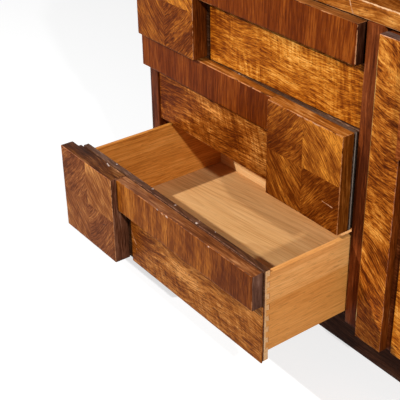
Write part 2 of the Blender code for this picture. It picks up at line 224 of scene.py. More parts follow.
# %% Outline with rounded corners
def outline_points(corners, ease, spacing, turns=4):
    """Points and outward normals round a square-cornered outline, anticlockwise.

    At an outward corner the points lie on a quarter circle of radius ease. At an inward
    one there is a single point, whose normal is the sum of its two sides' normals. The
    third result is 1 halfway round a quarter circle and 0 on the straight runs.
    """
    corners = np.asarray(corners, float)
    ahead = np.roll(corners, -1, axis=0) - corners
    ahead /= np.linalg.norm(ahead, axis=1)[:, None]
    behind = np.roll(ahead, 1, axis=0)
    out_before = np.stack([behind[:, 1], -behind[:, 0]], axis=1)
    out_after = np.stack([ahead[:, 1], -ahead[:, 0]], axis=1)
    outward = behind[:, 0] * ahead[:, 1] - behind[:, 1] * ahead[:, 0] > 0
    angle = np.linspace(0, math.pi / 2, turns + 1)
    points, normals, bends = [], [], []
    for i in range(len(corners)):
        if outward[i]:
            round_to = (np.outer(np.cos(angle), out_before[i])
                        + np.outer(np.sin(angle), out_after[i]))
            middle = corners[i] - ease * (out_before[i] + out_after[i])
            points.append(middle + ease * round_to)
            normals.append(round_to)
            bends.append(np.sin(2 * angle))
        else:
            points.append(corners[i][None])
            normals.append((out_before[i] + out_after[i])[None])
            bends.append(np.zeros(1))
        start = points[-1][-1]
        following = (i + 1) % len(corners)
        end = corners[following] - ahead[i] * (ease if outward[following] else 0)
        count = max(1, round(float(np.linalg.norm(end - start)) / spacing))
        inner = np.linspace(start, end, count + 1)[1:-1]
        points.append(inner)
        normals.append(np.repeat(out_after[i][None], len(inner), axis=0))
        bends.append(np.zeros(len(inner)))
    return np.concatenate(points), np.concatenate(normals), np.concatenate(bends)


# %% Rubbing and chips
# The least and the most: how far a chip reaches, and its share of the deepest chip.
chip_spreads = (1.2 * MM, 3.5 * MM)
chip_shares = (0.4, 1)


def unevenness(points, seed, longest=90 * MM, shortest=9 * MM, count=9):
    """A value from -1 to 1 at each point: a sum of sine waves in random directions."""
    chance = np.random.default_rng(seed)
    directions = chance.normal(size=(count, 3))
    directions /= np.linalg.norm(directions, axis=1)[:, None]
    lengths = np.geomspace(longest, shortest, count)
    waves = points @ (directions * (2 * math.pi / lengths)[:, None]).T
    shares = np.sqrt(lengths / lengths[0])
    return np.sin(waves + chance.uniform(0, 2 * math.pi, count)) @ shares / shares.sum()


def wear_depth(points, seed, rub, chips, chip_depth):
    """How far an arris is worn in at each point.

    Rubbing is the part of the unevenness above zero. Each chip is a dent that falls
    off as a bell curve round a point picked from the arris.
    """
    depth = rub * np.clip(unevenness(points, seed), 0, 1) * 2
    chance = np.random.default_rng(seed + 500)
    for pick in chance.integers(0, len(points), chips):
        spread = chance.uniform(*chip_spreads)
        apart = np.sum((points - points[pick]) ** 2, axis=1)
        depth += chip_depth * chance.uniform(*chip_shares) * np.exp(-apart / spread ** 2)
    return depth


# %% Prism with eased edges
edge_share = 0.3


def tube_faces(rings, around):
    """The quads between rings of points, and a face that closes each end."""
    ring, step = np.meshgrid(np.arange(rings - 1), np.arange(around), indexing="ij")
    beside = (step + 1) % around
    quads = np.stack([ring * around + step, ring * around + beside,
                      (ring + 1) * around + beside, (ring + 1) * around + step], axis=-1)
    first, last = range(around), range((rings - 1) * around, rings * around)
    return quads.reshape(-1, 4).tolist() + [list(first)[::-1], list(last)]


def eased_prism(corners, low, high, ease, spacing, seed=0, rub=0.12 * MM, chips=0,
                chip_depth=0.7 * MM, turns=4):
    """Vertices and faces of a prism on an outline, with all its edges rounded.

    Ring by ring, the height is low + ease * (1 - cos t) and the outline is drawn in by
    ease * (1 - sin t), for t from 0 to a quarter turn. The upper end mirrors this. Only
    points whose share in an edge is above the edge share are worn.
    """
    flat, out, bend = outline_points(corners, ease * 1.02, spacing, turns)
    turn = np.linspace(0, math.pi / 2, turns + 1)
    count = max(1, round((high - low - 2 * ease) / spacing))
    walls = np.linspace(low + ease, high - ease, count + 1)[1:-1]
    heights = np.concatenate([low + ease * (1 - np.cos(turn)), walls,
                              high - ease * (1 - np.cos(turn[::-1]))])
    draw_in = np.concatenate([ease * (1 - np.sin(turn)), np.zeros(len(walls)),
                              ease * (1 - np.sin(turn[::-1]))])
    lean = np.concatenate([-np.cos(turn), np.zeros(len(walls)), np.cos(turn[::-1])])
    across = np.sqrt(1 - lean ** 2)
    rings, around = len(heights), len(flat)
    points = np.empty((rings, around, 3))
    points[:, :, :2] = flat[None] - draw_in[:, None, None] * out[None]
    points[:, :, 2] = heights[:, None]
    normals = np.empty_like(points)
    normals[:, :, :2] = across[:, None, None] * out[None]
    normals[:, :, 2] = lean[:, None]
    mask = np.clip((2 * np.abs(lean) * across)[:, None] + bend[None], 0, 1).reshape(-1)
    points, normals = points.reshape(-1, 3), normals.reshape(-1, 3)
    worn = np.zeros(len(points))
    edge = mask > edge_share
    worn[edge] = wear_depth(points[edge], seed, rub, chips, chip_depth)
    return points - normals * (worn * mask)[:, None], tube_faces(rings, around)


# %% [markdown]
# A timber pattern has to know which way the grain runs. Each board carries that as
# numbers on its mesh. For every corner of every face, "timber" holds the distance
# along the grain, across it and into the board. "place" is the position from the
# board's middle and "reach" is half its size, from which a material finds how near
# the closest edge is. "figure" is a number that makes each board's pattern its own,
# "shade" lightens or darkens parts of it and on the case's sides and partitions holds
# painted shade, "stir" says how strong its bands and its curl are, and "match" sets
# four quarters apart.

# %% Grain numbers on a mesh
def grain_of_faces(normals, grain):
    """For each face, the order of axes that are along, across and into the board.

    On a face that looks along Y the grain is level along X or upright along Z. On an
    end, which looks along X, it is upright. On a top or bottom it is along X.
    """
    facing = np.argmax(np.abs(normals), axis=1)
    level = np.array([[2, 1, 0], [0, 2, 1], [0, 1, 2]])
    upright = np.array([[2, 1, 0], [2, 0, 1], [0, 1, 2]])
    return (upright if grain == "upright" else level)[facing]


def store(mesh, name, kind, domain, values):
    """Put an array on a mesh as an attribute."""
    field = "value" if kind == "FLOAT" else "vector"
    attribute = mesh.attributes.new(name, kind, domain)
    attribute.data.foreach_set(field, np.ascontiguousarray(values, np.float32).ravel())


def shade_of(local, half_size, patches):
    """The sum of bell-shaped patches (x, z, width, height, strength).

    Their places and sizes are fractions of the board's half width and half height.
    """
    x, z = local[:, 0] / half_size[0], local[:, 2] / half_size[2]
    total = np.zeros(len(local))
    for at_x, at_z, wide, tall, strength in patches:
        total += strength * np.exp(-((x - at_x) / wide) ** 2 - ((z - at_z) / tall) ** 2)
    return total


def match_of(quarters):
    """Numbers a, b and c, so that a*sx + b*sz + c*sx*sz is each quarter's own tone.

    The quarters are upper left, upper right, lower left and lower right, sx and sz are
    -1 or 1, and the tone counts from the mean of the four.
    """
    upper_left, upper_right, lower_left, lower_right = quarters
    return ((upper_right + lower_right - upper_left - lower_left) / 4,
            (upper_left + upper_right - lower_left - lower_right) / 4,
            (upper_right + lower_left - upper_left - lower_right) / 4)


def values_of(items, name, width=1, kind=float):
    """One property of a mesh's points, corners or faces, as an array."""
    values = np.empty(len(items) * width, kind)
    items.foreach_get(name, values)
    return values.reshape(-1, width) if width > 1 else values


def add_grain(mesh, points, grain, figure, patches=(), quarters=(0, 0, 0, 0), calm=()):
    """Store the numbers that the timber materials read. Patches of calm have a weaker figure."""
    smallest, largest = points.min(axis=0), points.max(axis=0)
    half_size = (largest - smallest) / 2
    local = values_of(mesh.vertices, "co", 3) - (smallest + largest) / 2
    totals = values_of(mesh.polygons, "loop_total", kind=np.int32)
    corner_vertex = values_of(mesh.loops, "vertex_index", kind=np.int32)
    axes = grain_of_faces(values_of(mesh.polygons, "normal", 3), grain)
    axes = np.repeat(axes, totals, axis=0)
    store(mesh, "timber", "FLOAT_VECTOR", "CORNER",
          np.take_along_axis(local[corner_vertex], axes, axis=1))
    shade = shade_of(local, half_size, patches) + np.mean(quarters)
    stir = np.clip(1 - shade_of(local, half_size, calm), 0, 1)
    for name, values in (("figure", np.full(len(local), figure)), ("shade", shade), ("stir", stir)):
        store(mesh, name, "FLOAT", "POINT", values)
    every = (len(local), 1)
    for name, values in (("place", local), ("reach", np.tile(half_size, every)),
                         ("match", np.tile(match_of(quarters), every))):
        store(mesh, name, "FLOAT_VECTOR", "POINT", values)


# %% Board piece
# Each seed moves a board's pattern on by the figure step. A face counts as the front or
# the top where that part of its normal is above the facing share.
figure_step = 0.37
facing_share = 0.8


def new_mesh(node, points, faces, finishes, sharpest=40):
    """A mesh that is smooth where its faces turn by less than an angle in degrees."""
    mesh = bpy.data.meshes.new("shown_" + node)
    mesh.from_pydata(points.tolist(), [], faces)
    for finish in finishes:
        mesh.materials.append(finish)
    mesh.polygons.foreach_set("use_smooth", np.ones(len(mesh.polygons), bool))
    mesh.set_sharp_from_angle(angle=math.radians(sharpest))
    return mesh


def new_piece(node, mesh):
    """Make an object of a mesh that stands for a node of the frame."""
    piece = new_object("shown_" + node, mesh)
    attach(piece, body_of_node[node])
    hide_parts(node)


def dressed_board(node, corners, low, high, finishes, grain="level", ease=1.2 * MM,
                  spacing=4 * MM, seed=1, patches=(), quarters=(0, 0, 0, 0), calm=(),
                  foot_rise=0, **wear):
    """A board with eased edges that stands for a node of the frame.

    With one finish it is all over. A second one is for every face but the front, as on
    a block with veneered edges, and a third one is for the top. The foot may rise from
    the left end to the right one: a point is lifted by the rise, times its share of the
    way to the right, times its share of the way down from the top.
    """
    points, faces = eased_prism(corners, low, high, ease, spacing, seed, **wear)
    start, end = points[:, 0].min(), points[:, 0].max()
    way, down = (points[:, 0] - start) / (end - start), (high - points[:, 2]) / (high - low)
    points[:, 2] += foot_rise * way * down
    mesh = new_mesh(node, points, faces, finishes)
    add_grain(mesh, points, grain, seed * figure_step, patches, quarters, calm)
    _, facing_y, facing_z = values_of(mesh.polygons, "normal", 3).T
    which = np.where(facing_y < -facing_share, 0, np.where(facing_z > facing_share, 2, 1))
    which = np.minimum(which, len(finishes) - 1).astype(np.int32)
    mesh.polygons.foreach_set("material_index", which)
    new_piece(node, mesh)


def rectangle(low, high):
    """The four corners of a box's outline seen from above, anticlockwise."""
    return [(low.x, low.y), (high.x, low.y), (high.x, high.y), (low.x, high.y)]


def board_over(node, finishes, **choices):
    """A dressed board on the box of one node."""
    low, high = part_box(node)
    dressed_board(node, rectangle(low, high), low.z, high.z, finishes, **choices)


# %% [markdown]
# Timber patterns are stretched noise. Stretched a little, across broad soft bands, it
# is the growth rings cut lengthways. Stretched more it is the streaks and flecks that
# give figured walnut its life, and finest of all are the fibres and the pores. The
# curl, a ripple in the fibres, runs across the grain. All of them add up to one tone
# between dark and light. The effects are node groups, for every finish uses them.

# %% Group helpers
def open_group(name, **inputs):
    """A shader node group with named inputs, where None is a vector, and its entry."""
    group = bpy.data.node_groups.new(name, "ShaderNodeTree")
    for label, value in inputs.items():
        kind = "NodeSocketVector" if value is None else "NodeSocketFloat"
        socket = group.interface.new_socket(label, in_out="INPUT", socket_type=kind)
        if value is not None:
            socket.default_value = value
    return group, group.nodes.new("NodeGroupInput").outputs


def close_group(group, **outputs):
    """Give a node group its outputs."""
    for label in outputs:
        group.interface.new_socket(label, in_out="OUTPUT", socket_type="NodeSocketFloat")
    feed(group, group.nodes.new("NodeGroupOutput"), outputs)


def use_group(tree, group, **inputs):
    """Place a node group in a material, feed its inputs and return its outputs."""
    node = tree.nodes.new("ShaderNodeGroup")
    node.node_tree = group
    feed(tree, node, inputs)
    return node.outputs


def vector_maths(tree, operation, *vectors):
    """The result of a Vector Math node, a vector or, for some operations, a number."""
    node = put(tree, "VectorMath", dict(enumerate(vectors)), operation=operation)
    return node.outputs[1 if operation in ("DOT_PRODUCT", "DISTANCE", "LENGTH") else 0]


def noise(tree, vector, scales, detail=2.0, roughness=0.5):
    """Noise on a vector whose three parts are first multiplied by three scales."""
    scaled = vector_maths(tree, "MULTIPLY", vector, scales)
    node = put(tree, "TexNoise", {"Vector": scaled, "Scale": 1.0, "Detail": detail,
                                  "Roughness": roughness})
    return node.outputs["Fac"]


def stepped(tree, value, start, end, low=0.0, high=1.0, curve="SMOOTHSTEP"):
    """A value that goes from low to high while another goes from start to end."""
    node = put(tree, "MapRange", {0: value, 1: start, 2: end, 3: low, 4: high},
               interpolation_type=curve)
    return node.outputs[0]


# %% Timber group
timber, entry = open_group("timber figure", Vector=None, Length=1.0, Wander=0.014, Clouds=0.6,
                           Bands=0.6, Streaks=0.6, Flecks=0.6, Curl=0.0, Ripples=100.0, Lean=0.6)
slow = put(timber, "TexNoise", {"Vector": entry["Vector"], "Scale": 6.0, "Detail": 1.0})
to_side = reckon(timber, "MULTIPLY", reckon(timber, "SUBTRACT", slow.outputs["Fac"], 0.5),
                 reckon(timber, "MULTIPLY", entry["Wander"], 3.0))
wavy = vector_maths(timber, "ADD", entry["Vector"], vector_from(timber, 0.0, to_side))
shorter = reckon(timber, "DIVIDE", 1.0, entry["Length"])
drawn = vector_maths(timber, "MULTIPLY", wavy, vector_from(timber, shorter, 1.0, 1.0))


def figure_noise(along, across, detail=2, roughness=0.5):
    """Noise with so many waves to the metre along the grain and across it."""
    return noise(timber, drawn, (along, across, across), detail, roughness)


clouds = figure_noise(10, 24, roughness=0.4)
bands = figure_noise(6, 62)
streaks = figure_noise(16, 240)
flecks = figure_noise(44, 430, detail=1, roughness=0.6)
fibres = figure_noise(26, 1300, roughness=0.6)
pores = stepped(timber, figure_noise(150, 760, detail=1), 0.62, 0.72)
dashes = stepped(timber, figure_noise(130, 420, detail=0), 0.68, 0.76, 0.0, 0.8)
open_pores = reckon(timber, "MAXIMUM", pores, dashes)

# %% Curl and the sum of the figure
ripple_breadth = 16.0
ripple_mean = 0.47
along, across, inward = parts_of(timber, wavy)
leaning = reckon(timber, "MULTIPLY_ADD", across, entry["Lean"], along)
ripple_at = vector_from(timber, reckon(timber, "MULTIPLY", leaning, entry["Ripples"]),
                        reckon(timber, "MULTIPLY", across, ripple_breadth),
                        reckon(timber, "MULTIPLY", inward, ripple_breadth))
ripple = put(timber, "TexNoise", {"Vector": ripple_at, "Scale": 1.0, "Detail": 2.0,
                                  "Roughness": 0.55, "Distortion": 0.5}).outputs["Fac"]
patch = noise(timber, wavy, (9, 13, 13), detail=1)
curl = reckon(timber, "MULTIPLY", reckon(timber, "SUBTRACT", ripple, ripple_mean),
              stepped(timber, patch, 0.36, 0.60))

tone_sum = 0.5
for part, share in ((clouds, "Clouds"), (bands, "Bands"), (streaks, "Streaks"),
                    (flecks, "Flecks")):
    swing = reckon(timber, "SUBTRACT", part, 0.5)
    tone_sum = reckon(timber, "MULTIPLY_ADD", swing, entry[share], tone_sum)
tone_sum = reckon(timber, "MULTIPLY_ADD", curl, entry["Curl"], tone_sum)
close_group(timber, Tone=tone_sum, Fibres=fibres, Pores=open_pores)

# %% Rubbed edge group
# How near an edge is: of the three distances to the board's faces, the middle one.
# Rubbing keeps to stretches of the edges, which grow with the share.
rub_from = 0.75
rub_swing = 0.45
rub_blur = 0.12
rubbed, entry = open_group("rubbed edges", Place=None, Reach=None, Width=1.2 * MM, Share=0.5)
from_middle = vector_maths(rubbed, "ABSOLUTE", entry["Place"])
gap = parts_of(rubbed, vector_maths(rubbed, "SUBTRACT", entry["Reach"], from_middle))
smaller = reckon(rubbed, "MINIMUM", gap[0], gap[1])
larger = reckon(rubbed, "MAXIMUM", gap[0], gap[1])
from_edge = reckon(rubbed, "MAXIMUM", smaller, reckon(rubbed, "MINIMUM", larger, gap[2]))
ragged = noise(rubbed, entry["Place"], (260, 260, 260), detail=2, roughness=0.7)
stretch = noise(rubbed, entry["Place"], (22, 22, 22), detail=2)
share_low = reckon(rubbed, "MULTIPLY", entry["Share"], rub_swing)
share_low = reckon(rubbed, "SUBTRACT", rub_from, share_low)
share_high = reckon(rubbed, "ADD", share_low, rub_blur)
here = stepped(rubbed, stretch, share_low, share_high, curve="LINEAR")
limit = reckon(rubbed, "MULTIPLY", reckon(rubbed, "MULTIPLY", ragged, 2.0), entry["Width"])
limit = reckon(rubbed, "MULTIPLY", limit, here)
half_limit = reckon(rubbed, "MULTIPLY", limit, 0.5)
close_group(rubbed, Rubbed=stepped(rubbed, from_edge, limit, half_limit, curve="LINEAR"))

# %% Specks group
specks, entry = open_group("pale specks", Vector=None, Share=0.1, Density=60.0, Size=0.14)
cell = put(specks, "TexVoronoi", {"Vector": entry["Vector"], "Scale": entry["Density"],
                                  "Randomness": 1.0}).outputs
chance = parts_of(specks, cell["Color"])
chosen = reckon(specks, "LESS_THAN", chance[0], entry["Share"])
radius = reckon(specks, "MULTIPLY_ADD", chance[1], 0.7, 0.3)
radius = reckon(specks, "MULTIPLY", entry["Size"], radius)
inside = reckon(specks, "LESS_THAN", cell["Distance"], radius)
close_group(specks, Specks=reckon(specks, "MULTIPLY", chosen, inside))

# %% Scratch group, which also draws painted highlights
# The distance from a stretch of line: the point's share of the way, held from 0 to 1,
# gives the nearest point of the line.
scratch, entry = open_group("single scratch", Vector=None, From=None, To=None, Width=1.0 * MM,
                            Ragged=0.5)
to_point = vector_maths(scratch, "SUBTRACT", entry["Vector"], entry["From"])
whole = vector_maths(scratch, "SUBTRACT", entry["To"], entry["From"])
covered = vector_maths(scratch, "DOT_PRODUCT", to_point, whole)
square = vector_maths(scratch, "DOT_PRODUCT", whole, whole)
way = reckon(scratch, "DIVIDE", covered, square, clamp=True)
nearest = put(scratch, "VectorMath", {0: whole, "Scale": way}, operation="SCALE").outputs[0]
apart = vector_maths(scratch, "DISTANCE", to_point, nearest)
rough_width = reckon(scratch, "MULTIPLY", entry["Width"], entry["Ragged"])
close_group(scratch, Mark=stepped(scratch, apart, 0.0, rough_width, 1.0, 0.0))
print("node groups:", [group.name for group in bpy.data.node_groups])

# %% [markdown]
# One function makes each timber finish. A colour ramp turns the tone into colour, and
# the fibres and the pores darken it. Rubbed edges, specks and single scratches show
# pale wood through the lacquer. The colours were judged from a photograph, so they are
# written as the 0 to 255 values of a picture.
# Two of the single scratches are painted highlights along arrises, not pale wood.

# %% Colours and the numbers of a mesh
def tone(red, green, blue):
    """A picture's 0 to 255 values as the linear colour that a shader takes."""
    share = np.array([red, green, blue]) / 255
    linear = np.where(share <= 0.04045, share / 12.92, ((share + 0.055) / 1.055) ** 2.4)
    return (*linear.tolist(), 1.0)


def mix_colours(tree, factor, first, second):
    """The output of a Mix node on two colours."""
    node = put(tree, "Mix", {0: factor, 6: first, 7: second}, data_type="RGBA")
    return node.outputs[2]


def number_of(tree, name):
    """A number that a mesh carries for its points."""
    return put(tree, "Attribute", attribute_name=name).outputs["Fac"]


def vector_of(tree, name):
    """A vector that a mesh carries for its points or corners."""
    return put(tree, "Attribute", attribute_name=name).outputs["Vector"]


def own_place(tree):
    """The place in the chest, in metres."""
    return put(tree, "TexCoord").outputs["Object"]


# %% [markdown]
# A finish gets its grain from one of the next functions: a vector whose three parts run
# along the grain, across it and into the wood.

# %% Grain of boards and of the door slabs
def own_grain(tree):
    """The position along, across and into the board, moved on by the board's figure."""
    figure = number_of(tree, "figure")
    move = vector_from(tree, figure, figure, figure)
    return vector_maths(tree, "ADD", vector_of(tree, "timber"), move)


# Eased slopes of the flames on a door's slab: from one height to the other, in metres, the
# slope goes from the third number to the fourth.
door_slab_middle = 0.26
fall_below = (0.36, 0.28, 0.0, 0.95)
level_foot = (0.17, 0.24, 0.05, 1.0)
fall_above = (0.50, 0.57, 0.05, 0.35)


def flame_grain(tree):
    """Grain that crosses the tall slab in flames.

    Across the grain is z + slope (x - middle). The slope is near 0 where the ripples are
    level, and larger where the flames fall to the inner side; the slab of the right door
    is the mirror image, so x is taken without its sign.
    """
    x, _, z = parts_of(tree, own_place(tree))
    inward = reckon(tree, "SUBTRACT", door_slab_middle, reckon(tree, "ABSOLUTE", x))
    low = reckon(tree, "MULTIPLY", stepped(tree, z, *fall_below), stepped(tree, z, *level_foot))
    slope = reckon(tree, "MAXIMUM", low, stepped(tree, z, *fall_above))
    across = reckon(tree, "MULTIPLY_ADD", slope, inward, z)
    figure = number_of(tree, "figure")
    return vector_from(tree, reckon(tree, "ADD", inward, figure),
                       reckon(tree, "ADD", across, figure), figure)


# %% Grain of the quartered blocks
move_by_side = 0.31
move_by_height = 0.83


def diamond_grain(tree):
    """Grain that runs round a diamond: four quarters of veneer, mirrored at two seams.

    With x and z measured from the block's middle, |x| + |z| is the distance across the
    grain times root two, and |x| - |z| the distance along it. Each quarter is moved by
    its own amount, because it is another part of the leaf.
    """
    x, _, z = parts_of(tree, vector_of(tree, "place"))
    wide, tall = reckon(tree, "ABSOLUTE", x), reckon(tree, "ABSOLUTE", z)
    root = math.sqrt(0.5)
    along = reckon(tree, "MULTIPLY", reckon(tree, "SUBTRACT", wide, tall), root)
    across = reckon(tree, "MULTIPLY", reckon(tree, "ADD", wide, tall), root)
    quarter = reckon(tree, "MULTIPLY_ADD", reckon(tree, "SIGN", x), move_by_side,
                     reckon(tree, "MULTIPLY", reckon(tree, "SIGN", z), move_by_height))
    return vector_from(tree, reckon(tree, "ADD", along, quarter),
                       reckon(tree, "ADD", across, quarter),
                       reckon(tree, "ADD", quarter, number_of(tree, "figure")))


def quarter_tone(tree):
    """The tone that the match numbers give to the quarter of the board."""
    x, _, z = parts_of(tree, vector_of(tree, "place"))
    right, upper = reckon(tree, "SIGN", x), reckon(tree, "SIGN", z)
    both = vector_from(tree, right, upper, reckon(tree, "MULTIPLY", right, upper))
    return vector_maths(tree, "DOT_PRODUCT", both, vector_of(tree, "match"))


# %% Grain of the nodes that stay
def placed_grain(turn=0.0):
    """Grain for a node of the frame: its place in the chest, turned about Z in degrees."""
    def read(tree):
        rotation = (0, 0, math.radians(turn))
        return put(tree, "Mapping", {"Vector": own_place(tree), "Rotation": rotation}).outputs[0]
    return read


# %% [markdown]
# The rest of a finish is the ramp from tone to colour, the marks of use and the relief
# of fibres and pores.

# %% Parts of a timber finish
# The pores are the darkest tone times the pore shade.
tone_stops = (0.16, 0.38, 0.5, 0.62, 0.84)
pore_shade = 0.4
rubbed_width = 1.8 * MM
speck_tone = (214, 190, 170)
roughness_swing = 0.07
fibre_relief = 0.15
fibre_height = 0.6 * MM


def tone_ramp(tree, value, tones):
    """The colour for a tone. Above the lightest one the ramp goes on by the last step."""
    ramp = put(tree, "ValToRGB", {"Fac": value})
    stops = ramp.color_ramp.elements
    stops[0].position, stops[0].color = tone_stops[0], tone(*tones[0])
    stops[1].position, stops[1].color = tone_stops[4], tone(*tones[4])
    for place, colours in list(zip(tone_stops, tones))[1:4]:
        stops.new(place).color = tone(*colours)
    stops.new(1.0).color = tone(*[min(255, 2 * high - low) for low, high in zip(*tones[3:])])
    return ramp.outputs["Color"]


def marked_and_highlighted(tree, colour, marks):
    """A colour with marks of use and painted highlights drawn over it, each with a ragged width."""
    where = own_place(tree)
    ragged = stepped(tree, noise(tree, where, (160, 160, 160)), 0.3, 0.7, 0.2, 1.0)
    for start, end, width, mark_tone in marks:
        mark = use_group(tree, scratch, Vector=where, From=[v * MM for v in start],
                         To=[v * MM for v in end], Width=width * MM, Ragged=ragged)["Mark"]
        colour = mix_colours(tree, mark, colour, tone(*mark_tone))
    return colour


def relief(tree, height, strength, depth):
    """The surface's normal, tilted by a height that varies."""
    return put(tree, "Bump", {"Strength": strength, "Distance": depth, "Height": height}).outputs[0]


# %% Timber finish
def timber_finish(name, tones, grain=own_grain, figure=(0.6, 0.6, 0.6, 0.6), length=1.0,
                  wander=0.014, curl=0.0, ripples=100.0, lean=0.6, fibre=0.2, pore=0.4,
                  roughness=0.42, gloss=0.04, worn=0.0, worn_share=0.5,
                  worn_tone=(196, 132, 84), speck=0.0, quartered=False, marks=(),
                  rings=None, after=None):
    """A timber material. Its five tones run from the darkest to the lightest.

    The figure's four numbers are the strengths of clouds, bands, streaks and flecks.
    """
    material, tree, shader = new_material(name)
    vector = grain(tree)
    stir = number_of(tree, "stir")
    lines = use_group(tree, timber, Vector=vector, Length=length, Wander=wander,
                      Clouds=figure[0], Bands=reckon(tree, "MULTIPLY", stir, figure[1]),
                      Streaks=figure[2], Flecks=figure[3],
                      Curl=reckon(tree, "MULTIPLY", stir, curl), Ripples=ripples, Lean=lean)
    value = reckon(tree, "ADD", lines["Tone"], number_of(tree, "shade"))
    if quartered:
        value = reckon(tree, "ADD", value, quarter_tone(tree))
    colour = tone_ramp(tree, value, tones)
    dark = tuple(pore_shade * part for part in tone(*tones[0])[:3]) + (1.0,)
    thin = stepped(tree, lines["Fibres"], 0.45, 0.72, 0.0, fibre)
    colour = mix_colours(tree, thin, colour, dark)
    colour = mix_colours(tree, reckon(tree, "MULTIPLY", lines["Pores"], pore), colour, dark)
    if rings:
        colour = rings(tree, colour, vector)
    if after:
        colour = after(tree, colour)
    if worn:
        edges = use_group(tree, rubbed, Place=vector_of(tree, "place"), Share=worn_share,
                          Reach=vector_of(tree, "reach"), Width=rubbed_width)["Rubbed"]
        edges = reckon(tree, "MULTIPLY", edges, worn)
        colour = mix_colours(tree, edges, colour, tone(*worn_tone))
    if speck:
        dots = use_group(tree, specks, Vector=vector, Share=speck)["Specks"]
        colour = mix_colours(tree, dots, colour, tone(*speck_tone))
    if marks:
        colour = marked_and_highlighted(tree, colour, marks)
    uneven = stepped(tree, lines["Tone"], 0.2, 0.8, roughness + roughness_swing,
                  roughness - roughness_swing, curve="LINEAR")
    height = reckon(tree, "MULTIPLY_ADD", lines["Pores"], -1.0, lines["Fibres"])
    feed(tree, shader, {"Base Color": colour, "Roughness": uneven, "Specular IOR Level": gloss,
                        "Normal": relief(tree, height, fibre_relief, fibre_height)})
    return material


# %% [markdown]
# The golden panels are figured walnut, laid with the grain level and with flames of
# curl across it. The square blocks are quartered: four pieces of veneer meet in the
# middle with their grain round a diamond. The slabs are redder walnut with the grain
# upright. The edges of blocks and slabs are covered with plainer strips, darker at the
# sides and lighter on top.

# %% Marks of use and painted highlights
# Each mark is a stretch of line: its two ends in the chest in mm, its width and its tone.
pale_speck = (222, 200, 186)
pale_wood = (206, 150, 110)
rubbed_wood = (196, 136, 94)
pink_line = (168, 108, 82)
panel_marks = [
    ((-752, -267.5, 184), (-745, -267.5, 170), 1.6, pale_wood),
    ((-745, -267.5, 170), (-735.5, -267.5, 158), 2.2, pale_wood),
    ((-735, -267.5, 146), (-734, -267.5, 146), 2.4, pale_wood),
]
block_marks = [
    ((-380, -90.9, 361.5), (-354, -90.9, 359.4), 2.2, pale_wood),
    ((-809, -300.9, 182), (-802, -300.9, 186), 5.0, (60, 26, 12)),
]
arris_marks = [
    ((-339, -90.4, 310), (-339, -90.4, 503), 2.0, (186, 120, 72)),
    ((-532, -90.5, 505), (-342, -90.5, 505), 1.4, (180, 120, 78)),
    ((-455, -90.5, 504), (-395, -90.5, 504), 1.7, (190, 142, 108)),
    ((-766.5, -300.4, 215), (-766.5, -300.4, 304), 2.2, rubbed_wood),
    ((-766.5, -300.4, 112), (-766.5, -300.4, 215), 1.5, rubbed_wood),
    ((-962, -300.4, 305.6), (-768, -300.4, 305.6), 1.3, pink_line),
    ((-766.5, -90.4, 510), (-766.5, -90.4, 703), 1.5, rubbed_wood),
    ((-336, -78, 636), (-336, -78, 665), 2.4, rubbed_wood),
    ((-336, -78, 665), (-336, -78, 702), 1.5, rubbed_wood),
]
slab_marks = [
    ((-621, -288, 304.2), (-617, -288.4, 303.6), 3.2, pale_speck),
    ((-607, -288.4, 303), (-599, -288.4, 301), 2.6, pale_wood),
    ((-590, -288.4, 303.6), (-586, -288.4, 302.6), 3.0, pale_speck),
    ((-459, -288.4, 303.4), (-457, -288.4, 303.4), 3.0, pale_speck),
    ((-700, -288, 304.5), (-340, -288, 304.5), 1.5, (182, 110, 60)),
    ((-762, -265, 304.9), (-338, -265, 304.9), 2.0, pink_line),
    ((-766, -299, 305.6), (-766, -266, 305.6), 1.8, pale_wood),
]
upper_slab_marks = [
    ((-960, -78, 503.8), (-540, -78, 503.8), 1.9, (206, 134, 84)),
    ((-596, -78, 503.8), (-593, -78, 503.8), 2.2, pale_wood),
    ((-537.5, -90, 505.4), (-537.5, -79, 505.4), 1.6, rubbed_wood),
    ((-676, -56, 504.2), (-671, -56, 504.2), 3.4, pale_wood),
    ((-664, -56.5, 504.2), (-660, -56.5, 504.2), 3.0, pale_speck),
    ((-652, -57, 504.2), (-646, -57, 504.2), 3.0, pale_wood),
]
door_marks_and_highlight = [
    ((-229.6, -72.6, 106), (-229.6, -72.6, 500), 2.0, pink_line),
    # A painted highlight along the slab's left arris, where the main lamp catches it.
    ((-292.4, -72.8, 205), (-292.4, -72.8, 330), 1.5, (206, 130, 56)),
    ((-291, -72.8, 698.8), (-231, -72.8, 698.8), 2.4, (216, 160, 122)),
]
board_marks_and_highlight = [
    # A painted highlight along the top board's front arris. The two marks after it are a crack.
    ((-620, -60, 735.6), (-100, -60, 735.6), 3.6, (226, 180, 136)),
    ((-374.5, -60.5, 729), (-371, -60.5, 720), 2.0, (220, 170, 126)),
    ((-371, -60.5, 720), (-364.5, -60.5, 708), 2.4, (196, 140, 96)),
]
chip_marks = [
    ((-833, -266, 306), (-819, -270, 306), 3.4, pale_speck),
    ((-800, -266, 306), (-784, -268, 306), 2.6, pale_wood),
]

# %% Panels of figured walnut
golden = timber_finish(
    "figured walnut", [(110, 47, 4), (159, 83, 14), (181, 101, 23), (203, 124, 36), (232, 156, 66)],
    figure=(1.0, 0.6, 0.5, 1.2), curl=1.0, ripples=140.0, lean=0.12, pore=0.8, worn=0.4)
brown_gold = timber_finish(
    "brown figured walnut", [(84, 31, 3), (120, 56, 8), (139, 69, 14), (158, 86, 24), (200, 124, 52)],
    figure=(1.0, 0.6, 0.45, 1.2), curl=0.85, ripples=120.0, lean=0.3, pore=0.8, worn=0.4)
dry_gold = timber_finish(
    "dry figured walnut", [(92, 40, 7), (127, 65, 15), (146, 80, 22), (166, 97, 33), (194, 125, 58)],
    figure=(0.9, 0.7, 0.5, 1.2), curl=0.8, ripples=120.0, lean=0.3, pore=0.8, worn=0.4,
    marks=panel_marks)

